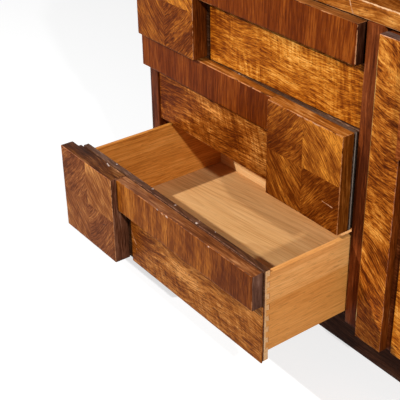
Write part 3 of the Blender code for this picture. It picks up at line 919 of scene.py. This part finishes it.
# %% Slabs of the doors
flame = timber_finish(
    "flamed walnut", [(78, 30, 4), (126, 60, 12), (160, 84, 20), (184, 106, 32), (216, 140, 56)],
    grain=flame_grain, wander=0.035, length=0.45, figure=(0.5, 1.5, 1.0, 0.9), curl=0.7, ripples=110.0,
    lean=0.4, pore=0.6, worn=0.5, worn_tone=(200, 112, 36), marks=door_marks_and_highlight)

# %% Quartered blocks
diamond = timber_finish(
    "parquet walnut", [(86, 34, 3), (112, 51, 7), (128, 63, 13), (148, 79, 20), (186, 110, 33)],
    grain=diamond_grain, quartered=True, figure=(0.9, 0.5, 0.5, 1.2), wander=0.013, pore=0.8, curl=0.35,
    ripples=70.0, worn=0.8, speck=0.02, marks=block_marks + arris_marks)
# A paler, greyer copy for the open drawer's block, whose haze is partly a painted sheen.
diamond_and_sheen = timber_finish(
    "parquet walnut with painted sheen", [(86, 38, 6), (112, 54, 12), (128, 66, 20), (145, 81, 29), (178, 112, 52)],
    grain=diamond_grain, quartered=True, figure=(0.8, 0.6, 0.6, 1.1), wander=0.018, curl=0.4,
    ripples=70.0, worn=0.8, speck=0.03, marks=block_marks + arris_marks)

# %% Slabs of the drawers and blocks of the doors
ribbon = timber_finish(
    "red walnut", [(78, 26, 0), (98, 38, 1), (111, 46, 3), (125, 56, 7), (154, 78, 18)],
    figure=(0.5, 0.6, 0.6, 0.9), length=1.5, wander=0.005, worn=0.8, worn_share=0.6,
    marks=arris_marks + upper_slab_marks)
# A paler, greyer copy for the open drawer's slab, whose haze is partly a painted sheen.
ribbon_and_sheen = timber_finish(
    "red walnut with painted sheen", [(84, 34, 3), (107, 49, 6), (123, 61, 11), (141, 74, 16), (170, 98, 28)],
    figure=(0.7, 0.6, 0.7, 0.9), wander=0.008, curl=0.4, worn=0.8, worn_share=0.6, marks=slab_marks)
door_red = timber_finish(
    "door block walnut", [(94, 38, 10), (120, 54, 16), (135, 64, 22), (149, 77, 31), (178, 101, 49)],
    figure=(0.8, 0.9, 0.8, 1.0), curl=0.5, pore=0.6, worn=0.6)

# %% Top board
board_band = timber_finish(
    "top board front", [(96, 41, 6), (137, 72, 17), (157, 87, 26), (176, 105, 38), (206, 136, 62)],
    figure=(0.8, 0.7, 0.7, 0.9), curl=0.5, pore=0.6, worn=0.7, worn_share=0.9,
    worn_tone=(226, 176, 128), marks=board_marks_and_highlight)
board_top = timber_finish(
    "top board walnut", [(98, 45, 9), (127, 64, 17), (143, 77, 25), (158, 92, 35), (188, 121, 60)],
    figure=(0.5, 0.6, 0.6, 0.8), curl=0.4, worn=0.7, worn_share=0.9, worn_tone=(226, 176, 128),
    gloss=0.0, marks=board_marks_and_highlight)

# %% Edges of blocks and slabs
side_edging = timber_finish(
    "block sides", [(58, 22, 3), (84, 36, 6), (96, 43, 9), (110, 52, 14), (142, 78, 34)],
    figure=(0.5, 0.7, 0.9, 0.7), wander=0.004, worn=0.7, marks=arris_marks)
top_edging = timber_finish(
    "block tops", [(98, 54, 24), (130, 73, 29), (146, 86, 37), (160, 98, 46), (192, 130, 76)],
    figure=(0.6, 0.9, 0.9, 0.7), wander=0.004, worn=0.8, worn_share=0.7,
    marks=arris_marks + upper_slab_marks)
dark_edging = timber_finish(
    "dark block tops", [(44, 17, 2), (68, 31, 5), (82, 40, 9), (100, 53, 15), (140, 90, 48)],
    figure=(1.2, 1.0, 0.9, 0.7), wander=0.012, worn=0.5, marks=arris_marks + slab_marks + chip_marks)
# The open drawer's block sides: greyer, partly a painted sheen.
side_and_sheen = timber_finish(
    "block sides with painted sheen", [(66, 36, 22), (90, 52, 33), (104, 61, 40), (117, 72, 50), (150, 104, 78)],
    figure=(0.5, 0.7, 0.9, 0.9), wander=0.004, worn=0.6, marks=arris_marks)
red_edging = timber_finish(
    "slab tops", [(86, 44, 20), (118, 65, 32), (135, 79, 41), (151, 94, 53), (190, 132, 86)],
    figure=(0.8, 0.8, 0.9, 0.7), wander=0.006, worn=0.6, marks=slab_marks)
# Dark end grain, made darker still as painted shade on the middle and upper slabs' ends.
shaded_slab_end = timber_finish(
    "slab ends", [(26, 9, 3), (36, 14, 6), (44, 19, 9), (54, 26, 14), (88, 52, 34)],
    figure=(0.6, 0.6, 0.7, 0.6), worn=0.4, marks=arris_marks)
# The lowest slab's ends: grey-brown wood, lightened partly as a painted sheen of reflected light.
sheen_slab_end = timber_finish(
    "grey slab ends with painted sheen", [(70, 44, 33), (93, 61, 47), (107, 72, 56), (118, 83, 67), (150, 114, 95)],
    figure=(0.9, 0.6, 0.7, 0.6), worn=0.4)
# The door slabs' tops are grey-purple.
grey_purple_top = timber_finish(
    "door slab tops", [(70, 46, 38), (94, 66, 56), (108, 80, 68), (122, 94, 82), (156, 124, 106)],
    figure=(0.6, 0.7, 0.7, 0.7), worn=0.6)

# %% Stained boards
stained = timber_finish(
    "stained walnut", [(66, 25, 7), (98, 43, 15), (114, 53, 20), (127, 61, 25), (160, 90, 44)],
    figure=(0.5, 0.6, 0.8, 0.6), wander=0.006, worn=0.4)
plinth_stain = timber_finish(
    "plinth stain", [(46, 21, 10), (66, 32, 16), (76, 39, 21), (86, 47, 27), (112, 68, 44)],
    figure=(0.5, 0.6, 0.8, 0.9), wander=0.006, worn=0.4, roughness=0.5, worn_tone=(110, 72, 52))

# %% Middle drawer's back edges, with painted shade on the block's side
outer_end = 0.76
inner_end = 0.36
band_sway = 3 * MM
band_widening = 8 * MM
band_blur = 1.2 * MM


def rear_band(tree, colour, start, dark, light):
    """Behind a wavering line a dark ground is painted over the veneer.

    The band is a thin dark line at the outer end of the bank. At the inner end it is
    8 mm wider, and grey.
    """
    x, y, _ = parts_of(tree, own_place(tree))
    inner = stepped(tree, reckon(tree, "ABSOLUTE", x), outer_end, inner_end)
    wave = noise(tree, own_place(tree), (30, 30, 30), detail=3, roughness=0.6)
    line = reckon(tree, "MULTIPLY_ADD", reckon(tree, "SUBTRACT", wave, 0.5), band_sway, y)
    line = reckon(tree, "MULTIPLY_ADD", inner, band_widening, line)
    behind = stepped(tree, line, start, start + band_blur)
    blotch = noise(tree, own_place(tree), (220, 300, 220), detail=2)
    ground = mix_colours(tree, inner, tone(*dark), tone(*light))
    ground = mix_colours(tree, stepped(tree, blotch, 0.45, 0.75, 0.0, 0.3), ground,
                         tone(150, 126, 108))
    return mix_colours(tree, behind, colour, ground)


def worn_top(tree, colour):
    """The band along the back of the middle drawer's tops."""
    return rear_band(tree, colour, -56.8 * MM, (58, 30, 12), (96, 70, 55))


def side_shade_and_grey_band(tree, colour):
    """The same band on the block's side: a dark band of painted shade, as in the gap behind the block,
    and grey at the very back.
    """
    colour = rear_band(tree, colour, -57.8 * MM, (52, 30, 16), (54, 32, 18))
    return rear_band(tree, colour, -54 * MM, (150, 132, 118), (152, 136, 124))


middle_top = timber_finish(
    "middle drawer tops", [(100, 50, 12), (136, 73, 18), (154, 87, 27), (172, 104, 42), (204, 140, 76)],
    figure=(0.6, 0.9, 0.9, 0.7), wander=0.004, worn=0.8, worn_share=0.7,
    marks=arris_marks + upper_slab_marks, after=worn_top)
middle_side = timber_finish(
    "middle block side", [(66, 28, 3), (94, 44, 6), (108, 52, 9), (122, 63, 15), (156, 90, 36)],
    figure=(0.5, 0.7, 0.9, 0.7), wander=0.004, worn=0.7, marks=arris_marks, after=side_shade_and_grey_band)
print("finishes of the fronts are ready")

# %% [markdown]
# The drawer boxes are plain cabinet work in pale timber. Their nodes in the frame have
# the right shape, dovetails and grooves included, so they stay and only get a finish.
# A drawer front is a pale board with a dark skin: the skin is 2 mm thick and shows on
# its front, top and bottom, while the sawn ends show the core.

# %% Strips, late wood and skin
# Heights on the sides of the lowest drawers, which the rows above repeat.
row_foot = 108.5 * MM
row_pitch = 199.5 * MM
glue_line = 238.8 * MM
glue_sway = 4 * MM
glue_blur = 0.8 * MM
top_edge = 288 * MM
top_blur = 2 * MM
lower_strip_tint = (0.87, 0.76, 0.57, 1.0)
# The back of the open front's skin, and the middle and half the range of the closed ones'.
open_skin = -261.8 * MM
closed_skin = -53 * MM
half_skin = 1.1 * MM


def two_strips(tree, colour):
    """A drawer side glued up of two strips: the lower one darker, the top edge too."""
    height = parts_of(tree, own_place(tree))[2]
    row = reckon(tree, "WRAP", height, row_foot + row_pitch, row_foot)
    row = reckon(tree, "MULTIPLY_ADD", noise(tree, own_place(tree), (0, 5, 40)), glue_sway, row)
    low = stepped(tree, row, glue_line, glue_line + glue_blur, 1.0, 0.0)
    high = stepped(tree, row, top_edge, top_edge + top_blur, 0.0, 0.35)
    colour = put(tree, "Mix", {0: low, 6: colour, 7: lower_strip_tint},
                 data_type="RGBA", blend_type="MULTIPLY").outputs[2]
    return mix_colours(tree, high, colour, tone(206, 132, 62))


def late_wood(strength, pitch, spread, dark):
    """Thin dark lines along the grain, as on a flat-sawn board.

    The distance across the grain, bent by slow noise, is counted in steps of the pitch,
    and a line is drawn where the count passes a whole number.
    """
    def draw(tree, colour, vector):
        _, across, inward = parts_of(tree, vector)
        bend = reckon(tree, "SUBTRACT", noise(tree, vector, (1.3, 9, 9), detail=1), 0.5)
        count = reckon(tree, "MULTIPLY_ADD", reckon(tree, "ADD", across, inward), 1 / pitch,
                       reckon(tree, "MULTIPLY", bend, spread))
        share = reckon(tree, "FRACT", count)
        line = reckon(tree, "MULTIPLY", stepped(tree, share, 0.35, 0.95),
                      stepped(tree, share, 1.0, 0.95))
        here = stepped(tree, noise(tree, vector, (2.5, 9, 9), detail=1), 0.35, 0.62, 0.25, 1.0)
        line = reckon(tree, "MULTIPLY", line, reckon(tree, "MULTIPLY", here, strength))
        return mix_colours(tree, line, colour, tone(*dark))
    return draw


def board_skin(tree, colour):
    """A drawer front's dark skin in front, on top and below, round a speckled pale core."""
    place = own_place(tree)
    y = parts_of(tree, place)[1]
    facing = parts_of(tree, put(tree, "NewGeometry").outputs["Normal"])
    level = reckon(tree, "GREATER_THAN", reckon(tree, "ABSOLUTE", facing[2]), 0.5)
    front = reckon(tree, "MAXIMUM", reckon(tree, "LESS_THAN", y, open_skin),
                   reckon(tree, "COMPARE", y, closed_skin, half_skin))
    core = use_group(tree, specks, Vector=place, Share=0.55, Density=420.0, Size=0.5)
    pale = mix_colours(tree, core["Specks"], tone(226, 176, 120), tone(188, 132, 82))
    blotch = stepped(tree, noise(tree, place, (90, 90, 140), detail=3), 0.4, 0.62)
    pale = mix_colours(tree, reckon(tree, "MULTIPLY", blotch, 0.5), pale, tone(238, 204, 158))
    return mix_colours(tree, reckon(tree, "MAXIMUM", level, front), pale, colour)


# %% Finishes of the boxes and the case
front_marks = [
    ((-762, -264.2, 307.6), (-338, -264.2, 307.6), 1.8, pink_line),
    ((-814, -254.6, 307.7), (-812, -254.6, 307.7), 3.4, pale_speck),
    ((-684, -253.3, 307.7), (-684, -253.3, 307.7), 4.4, pale_speck),
    ((-606, -254.7, 307.7), (-606, -254.7, 307.7), 4.4, pale_speck),
    ((-531, -262, 307.7), (-528, -262, 307.7), 3.4, pale_speck),
    ((-532, -253.3, 307.7), (-532, -253.3, 307.7), 4.0, pale_speck),
    ((-483, -253.7, 307.7), (-483, -253.7, 307.7), 4.0, pale_speck),
]
box_wood = {"roughness": 0.5, "gloss": 0.15}
drawer_side = timber_finish(
    "drawer sides",
    [(196, 128, 62), (225, 158, 87), (238, 174, 101), (247, 185, 113), (252, 204, 140)],
    grain=placed_grain(90), length=2.6, figure=(0.3, 0.2, 0.25, 0.5), wander=0.002, fibre=0.15,
    pore=0.3, after=two_strips, rings=late_wood(0.08, 13 * MM, 4, (176, 108, 48)), **box_wood)
drawer_side_left = timber_finish(
    "left drawer side",
    [(164, 94, 32), (195, 121, 45), (209, 134, 54), (219, 145, 64), (234, 165, 86)],
    grain=placed_grain(90), length=2.6, figure=(0.5, 0.4, 0.6, 0.7), wander=0.003, fibre=0.25,
    pore=0.35, rings=late_wood(0.3, 8 * MM, 12, (150, 84, 32)), **box_wood)
drawer_bottom = timber_finish(
    "drawer bottoms",
    [(168, 114, 60), (202, 149, 90), (218, 167, 107), (226, 178, 119), (238, 198, 142)],
    grain=placed_grain(-7), length=3.0, figure=(0.35, 0.25, 0.25, 0.4), wander=0.004, fibre=0.12,
    pore=0.12, rings=late_wood(0.35, 18 * MM, 12, (166, 112, 60)), **box_wood)
drawer_back = timber_finish(
    "drawer backs",
    [(212, 154, 92), (230, 178, 114), (240, 190, 128), (246, 202, 142), (252, 216, 162)],
    grain=placed_grain(0), length=2.5, figure=(0.5, 0.6, 0.6, 0.4), wander=0.004, fibre=0.15,
    pore=0.1, **box_wood)
front_core = timber_finish(
    "drawer fronts", [(54, 30, 18), (78, 46, 27), (91, 56, 33), (97, 63, 43), (134, 96, 72)],
    grain=placed_grain(0), figure=(0.8, 0.7, 0.8, 0.9), after=board_skin, gloss=0.08,
    marks=front_marks)
case_inside = timber_finish(
    "case inside", [(120, 76, 40), (160, 110, 62), (174, 124, 74), (186, 136, 84), (206, 158, 106)],
    grain=placed_grain(0), length=2.0, roughness=0.6)

# %% Hardboard
def nail_heads(tree, node, pitch=110 * MM, inset=8 * MM, radius=3 * MM):
    """A row of nails along each edge of a board that stands across the chest.

    The place is taken from the board's middle. Along an edge it is wrapped to the pitch,
    across it the distance to the row is left, and the length of the two is the distance
    to the nearest nail.
    """
    low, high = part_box(node)
    middle, half = (low + high) / 2, (high - low) / 2
    place = vector_maths(tree, "SUBTRACT", own_place(tree), tuple(middle))
    across, _, up = parts_of(tree, place)
    distances = []
    for along, away, reach in ((across, up, half.z), (up, across, half.x)):
        beside = reckon(tree, "WRAP", along, pitch / 2, -pitch / 2)
        off = reckon(tree, "SUBTRACT", reckon(tree, "ABSOLUTE", away), reach - inset)
        distances.append(vector_maths(tree, "LENGTH", vector_from(tree, beside, off)))
    return stepped(tree, reckon(tree, "MINIMUM", *distances), radius, 0.7 * radius)


hardboard, tree, shader = new_material("hardboard")
felted = noise(tree, own_place(tree), (900, 900, 900), detail=3, roughness=0.7)
stain = noise(tree, own_place(tree), (7, 7, 7), detail=3)
nails = nail_heads(tree, "back_panel")
colour = mix_colours(tree, stepped(tree, felted, 0.35, 0.65), tone(96, 66, 42), tone(136, 98, 64))
colour = mix_colours(tree, stepped(tree, stain, 0.5, 0.7, 0.0, 0.4), colour, tone(84, 58, 38))
colour = mix_colours(tree, nails, colour, tone(150, 142, 132))
height = reckon(tree, "MULTIPLY_ADD", nails, 3.0, felted)
feed(tree, shader, {"Base Color": colour, "Roughness": 0.75,
                    "Normal": relief(tree, height, 0.3, 0.3 * MM)})

# %% Brass
brass, tree, shader = new_material("aged brass")
drawn_lines = noise(tree, own_place(tree), (2400, 2400, 40), detail=2)
tarnish = noise(tree, own_place(tree), (60, 60, 25), detail=4, roughness=0.6)
colour = mix_colours(tree, stepped(tree, tarnish, 0.45, 0.68, 0.0, 0.8), tone(212, 172, 96),
                     tone(110, 76, 36))
feed(tree, shader, {"Base Color": colour, "Metallic": 1.0,
                    "Roughness": stepped(tree, tarnish, 0.4, 0.7, 0.28, 0.6),
                    "Normal": relief(tree, drawn_lines, 0.2, 0.1 * MM)})
print("finishes of the boxes are ready")

# %% [markdown]
# Two banks of three drawers are dressed next. The left bank shows in the photograph, so
# the tones of its quarters and its lighter and darker patches are set one by one. The
# right bank's are drawn at random, and each front has its own seed.

# %% Looks of single fronts
banks = ("left", "right")
rows = ("lower", "middle", "upper")
lap_gap = 2 * MM
lap_depth = 6.8 * MM
edge_wear = {"rub": 0.3 * MM, "chips": 14}
# The block's front, sides and top, the same of the slab, and the panel.
finishes_of_row = {
    "lower": ([diamond_and_sheen, side_and_sheen, dark_edging], [ribbon_and_sheen, sheen_slab_end, red_edging], dry_gold),
    "middle": ([diamond, middle_side, middle_top], [ribbon, shaded_slab_end, middle_top], brown_gold),
    "upper": ([diamond, side_edging, top_edging], [ribbon, shaded_slab_end, top_edging], golden),
}
# Four tones: upper left, upper right, lower left and lower right.
own_quarters = {
    "left_drawer_upper_block": (0.03, 0.13, 0.0, -0.03),
    "left_drawer_middle_block": (-0.05, 0.22, -0.08, -0.10),
    "left_drawer_lower_block": (-0.04, 0.16, 0.02, -0.10),
}
# Patches are (x, z, width, height, strength), as shares of half the board.
patches_and_painted_shade = {
    "left_drawer_upper_panel": [(-0.95, 0.0, 0.4, 1.5, -0.12), (0.55, 0.0, 0.2, 2, -0.04),
                                (0.85, -0.3, 0.2, 0.8, -0.05), (0.2, 0.3, 0.3, 0.7, 0.05)],
    "left_drawer_middle_panel": [(0.75, 0.2, 0.25, 0.8, 0.10), (0.3, -0.2, 0.2, 0.9, -0.04)],
    "left_drawer_lower_panel": [(-0.8, 0.3, 0.25, 0.9, -0.16), (0.05, -0.1, 0.4, 0.6, 0.12),
                                (0.55, 0.4, 0.3, 0.4, 0.06)],
    "left_drawer_middle_slab": [(-0.62, 0, 0.12, 3, 0.05), (-0.45, 0, 0.06, 3, -0.12),
                                (0.2, 0, 0.4, 3, -0.06), (0.42, 0, 0.12, 3, 0.08),
                                (0.8, 0, 0.22, 3, -0.12)],
    "left_drawer_upper_slab": [(-0.3, 0, 0.1, 3, 0.06), (0.15, 0, 0.08, 3, 0.05),
                               (0.5, 0, 0.25, 3, -0.04)],
    "left_drawer_lower_slab": [(-0.85, 0.0, 0.35, 2.0, 0.24), (0.75, 0.0, 0.35, 2.0, -0.14)],
    "left_door_slab": [(0, 0.10, 3, 0.14, -0.12), (0, -0.88, 3, 0.2, 0.01),
                       (0, 0.65, 3, 0.25, 0.02)],
    # The partition's three dark patches paint the shadow that the middle block throws across it.
    "left_partition": [(0, 0.14, 3, 0.14, -0.28), (0, -0.06, 3, 0.14, -0.28),
                       (0, -0.26, 3, 0.12, -0.28)],
    # The side's dark patch paints shade on its front edge.
    "left_side": [(0, -0.2, 3, 0.5, -0.22)],
}
calm_of_door_slab = [(0, 0.75, 3, 0.35, 0.45), (0, 0.15, 3, 0.3, 0.55), (0, -0.85, 3, 0.32, 0.9)]


# %% Dress the drawer fronts
def lapping_outline(low, high, bank):
    """A front that laps over the case's side, cut back behind to clear its edge."""
    side_low, side_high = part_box(bank + "_side")
    if bank == "left":
        step = side_high.x + lap_gap
        return [(low.x, low.y), (high.x, low.y), (high.x, high.y), (step, high.y),
                (step, high.y - lap_depth), (low.x, high.y - lap_depth)]
    step = side_low.x - lap_gap
    return [(low.x, low.y), (high.x, low.y), (high.x, high.y - lap_depth),
            (step, high.y - lap_depth), (step, high.y), (low.x, high.y)]


def dress_front(bank, row, seed):
    """The block, the slab and the veneered panel of one drawer front."""
    block, slab, panel = (f"{bank}_drawer_{row}_{part}" for part in ("block", "slab", "panel"))
    block_finishes, slab_finishes, panel_finish = finishes_of_row[row]
    chance = np.random.default_rng(seed)
    for node, finishes, laps in ((block, block_finishes, row != "middle"),
                                 (slab, slab_finishes, row == "middle")):
        low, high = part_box(node)
        corners = lapping_outline(low, high, bank) if laps else rectangle(low, high)
        quarters = own_quarters.get(node, chance.uniform(-0.12, 0.2, 4))
        patches = patches_and_painted_shade.get(node, [(chance.uniform(-1, 1), 0, 0.4, 2.0, 0.1)])
        looks = {block: {"ease": 2.0 * MM, "quarters": quarters},
                 slab: {"ease": 1.4 * MM, "patches": patches}}
        dressed_board(node, corners, low.z, high.z, finishes, grain="upright", seed=seed,
                      **looks[node], **edge_wear)
        seed += 1
    patches = patches_and_painted_shade.get(panel, [(chance.uniform(-1, 1), 0, 0.4, 1.0, 0.1)])
    board_over(panel, [panel_finish], ease=0.5 * MM, seed=seed, turns=2, patches=patches,
               foot_rise=6 * MM if panel == "left_drawer_upper_panel" else 0)


for number, (bank, row) in enumerate((bank, row) for bank in banks for row in rows):
    dress_front(bank, row, seed=11 + 7 * number)
print("drawer fronts dressed:", len(banks) * len(rows))

# %% Dress the doors
for number, bank in enumerate(banks):
    seed = 71 + 5 * number
    board_over(f"{bank}_door_slab", [flame, side_edging, grey_purple_top], seed=seed, ease=1.0 * MM,
               patches=patches_and_painted_shade["left_door_slab"], calm=calm_of_door_slab, **edge_wear)
    board_over(f"{bank}_door_block", [door_red, side_edging, top_edging], seed=seed + 1,
               ease=1.6 * MM, rub=0.3 * MM, chips=12)
    board_over(f"{bank}_door_panel", [golden], seed=seed + 2, ease=0.5 * MM, turns=2)
    board_over(f"{bank}_door_board", [stained], seed=seed + 3, ease=0.8 * MM, spacing=10 * MM)

# %% Dress the case
board_over("top_board", [board_band, board_band, board_top], seed=91, ease=1.6 * MM,
           spacing=6 * MM, rub=0.3 * MM, chips=30)
# Both sides and both partitions take the left bank's patches, with their painted shade.
for number, bank in enumerate(banks):
    board_over(f"{bank}_side", [stained], seed=95 + number, spacing=10 * MM, grain="upright",
               patches=patches_and_painted_shade["left_side"])
    board_over(f"{bank}_partition", [stained], seed=97 + number, spacing=10 * MM, grain="upright",
               ease=0.8 * MM, patches=patches_and_painted_shade["left_partition"])

# %% [markdown]
# The plinth is four boards on edge, set back under the case. Seen from the front they
# are almost black. At each corner the end of a short board meets the face of a long one,
# as in the construction, and the eased edges draw a fine line where they meet.

# %% Plinth
plinth_wall = 18 * MM
plinth_low, plinth_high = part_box("plinth")


def joined(pieces):
    """Several pairs of points and faces as one pair."""
    starts = np.cumsum([0] + [len(points) for points, _ in pieces[:-1]])
    faces = [[index + int(start) for index in face]
             for (_, part), start in zip(pieces, starts) for face in part]
    return np.concatenate([points for points, _ in pieces]), faces


def eased_box(low, high, ease=0.8 * MM, **choices):
    """A box between two corners, with eased edges."""
    low, high = Vector(low), Vector(high)
    return eased_prism(rectangle(low, high), low.z, high.z, ease, 12 * MM, turns=2, **choices)


west, south, foot = plinth_low
east, north, head = plinth_high
plinth_parts = [
    ((west, south, foot), (east, south + plinth_wall, head)),
    ((west, north - plinth_wall, foot), (east, north, head)),
    ((west, south + plinth_wall, foot), (west + plinth_wall, north - plinth_wall, head)),
    ((east - plinth_wall, south + plinth_wall, foot), (east, north - plinth_wall, head)),
]
plinth_seed = 99
points, faces = joined([eased_box(*part, seed=plinth_seed + number)
                        for number, part in enumerate(plinth_parts)])
mesh = new_mesh("plinth", points, faces, [plinth_stain])
add_grain(mesh, points, "level", plinth_seed * figure_step)
new_piece("plinth", mesh)

# %% [markdown]
# A continuous hinge of brass runs down each door. Its barrel is a row of knuckles round
# one pin, and its leaf is screwed to the partition. The barrel is a profile turned round
# the pin: the radius drops a little wherever one knuckle ends and the next begins. The
# screw heads are low domes, turned the same way round their own middles.

# %% Hinges
barrel_radius = 2.4 * MM
leaf_thickness = 1 * MM
knuckles = 9
notch = np.array([0, 0.2, 0.5, 0.8]) * MM
notch_drop = np.array([0.15, 0.03, 0, 0, 0.03, 0.15, 0.35]) * MM
screw_radius = 2.8 * MM
screw_rise = 0.25 * MM
screw_root = 0.4 * MM
screw_from_edge = 8 * MM


def turned(radii, heights, around=20):
    """A profile turned round an axis, with both ends closed.

    The point at the angle t and the height h is (r cos t, r sin t, h), where r is the
    profile's radius at h. The result is points and faces.
    """
    angle = np.linspace(0, 2 * math.pi, around, endpoint=False)
    radii, heights = np.asarray(radii, float), np.asarray(heights, float)
    points = np.stack([np.outer(radii, np.cos(angle)), np.outer(radii, np.sin(angle)),
                       np.repeat(heights[:, None], around, axis=1)], axis=-1)
    return points.reshape(-1, 3), tube_faces(len(heights), around)


dome = np.linspace(0.35, math.pi / 2, 5)[::-1]
dome_points, dome_faces = turned(np.append(screw_radius, screw_radius * np.sin(dome)),
                                 np.append(-screw_root, screw_rise * np.cos(dome)), 16)
for bank in banks:
    node = bank + "_door_hinge"
    low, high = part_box(node)
    hand = 1 if bank == "left" else -1
    near, far = (low.x, high.x) if bank == "left" else (high.x, low.x)
    pitch = (high.z - low.z) / knuckles
    heights, radii = [low.z], [barrel_radius - notch_drop[-1]]
    for number in range(knuckles):
        start, end = low.z + number * pitch, low.z + (number + 1) * pitch
        heights += (start + notch[1:]).tolist() + (end - notch[:0:-1]).tolist() + [end]
        radii += [barrel_radius - drop for drop in notch_drop]
    barrel_points, barrel_faces = turned(radii, heights)
    pin = (near + hand * barrel_radius, low.y + barrel_radius, 0)
    pieces = [(barrel_points + pin, barrel_faces)]
    leaf_far = far - hand * screw_rise
    leaf_x = sorted((far - hand * leaf_thickness, leaf_far))
    pieces.append(eased_box((leaf_x[0], pin[1], low.z), (leaf_x[1], high.y, high.z),
                            ease=0.3 * MM, seed=3, rub=0))
    laid = dome_points[:, [2, 1, 0]] * (hand, 1, 1)
    faces = [face[::-1] for face in dome_faces] if hand > 0 else dome_faces
    for height in np.arange(low.z + 0.4 * pitch, high.z, pitch):
        pieces.append((laid + (leaf_far, high.y - screw_from_edge, height), faces))
    new_piece(node, new_mesh(node, *joined(pieces), [brass], sharpest=35))
print("hinges: knuckles of", round(pitch / MM, 1), "mm")

# %% [markdown]
# The nodes that no piece replaces keep their own solids. The end of a node's name tells
# its finish: the first ending in the list that fits is taken, and the last one fits all.

# %% Nodes that stay
finish_of_ending = {
    "left_drawer_lower_outer_side": drawer_side_left,
    "outer_side": drawer_side,
    "inner_side": drawer_side,
    "box_frame": drawer_side,
    "drawer_lower_back": drawer_back,
    "bottom": drawer_bottom,
    "front_board": front_core,
    "back_panel": hardboard,
    "": case_inside,
}
for node, thing in frame["nodes"].items():
    if thing.hide_render:
        continue
    ending = next(ending for ending in finish_of_ending if node.endswith(ending))
    thing.data.materials.clear()
    thing.data.materials.append(finish_of_ending[ending])
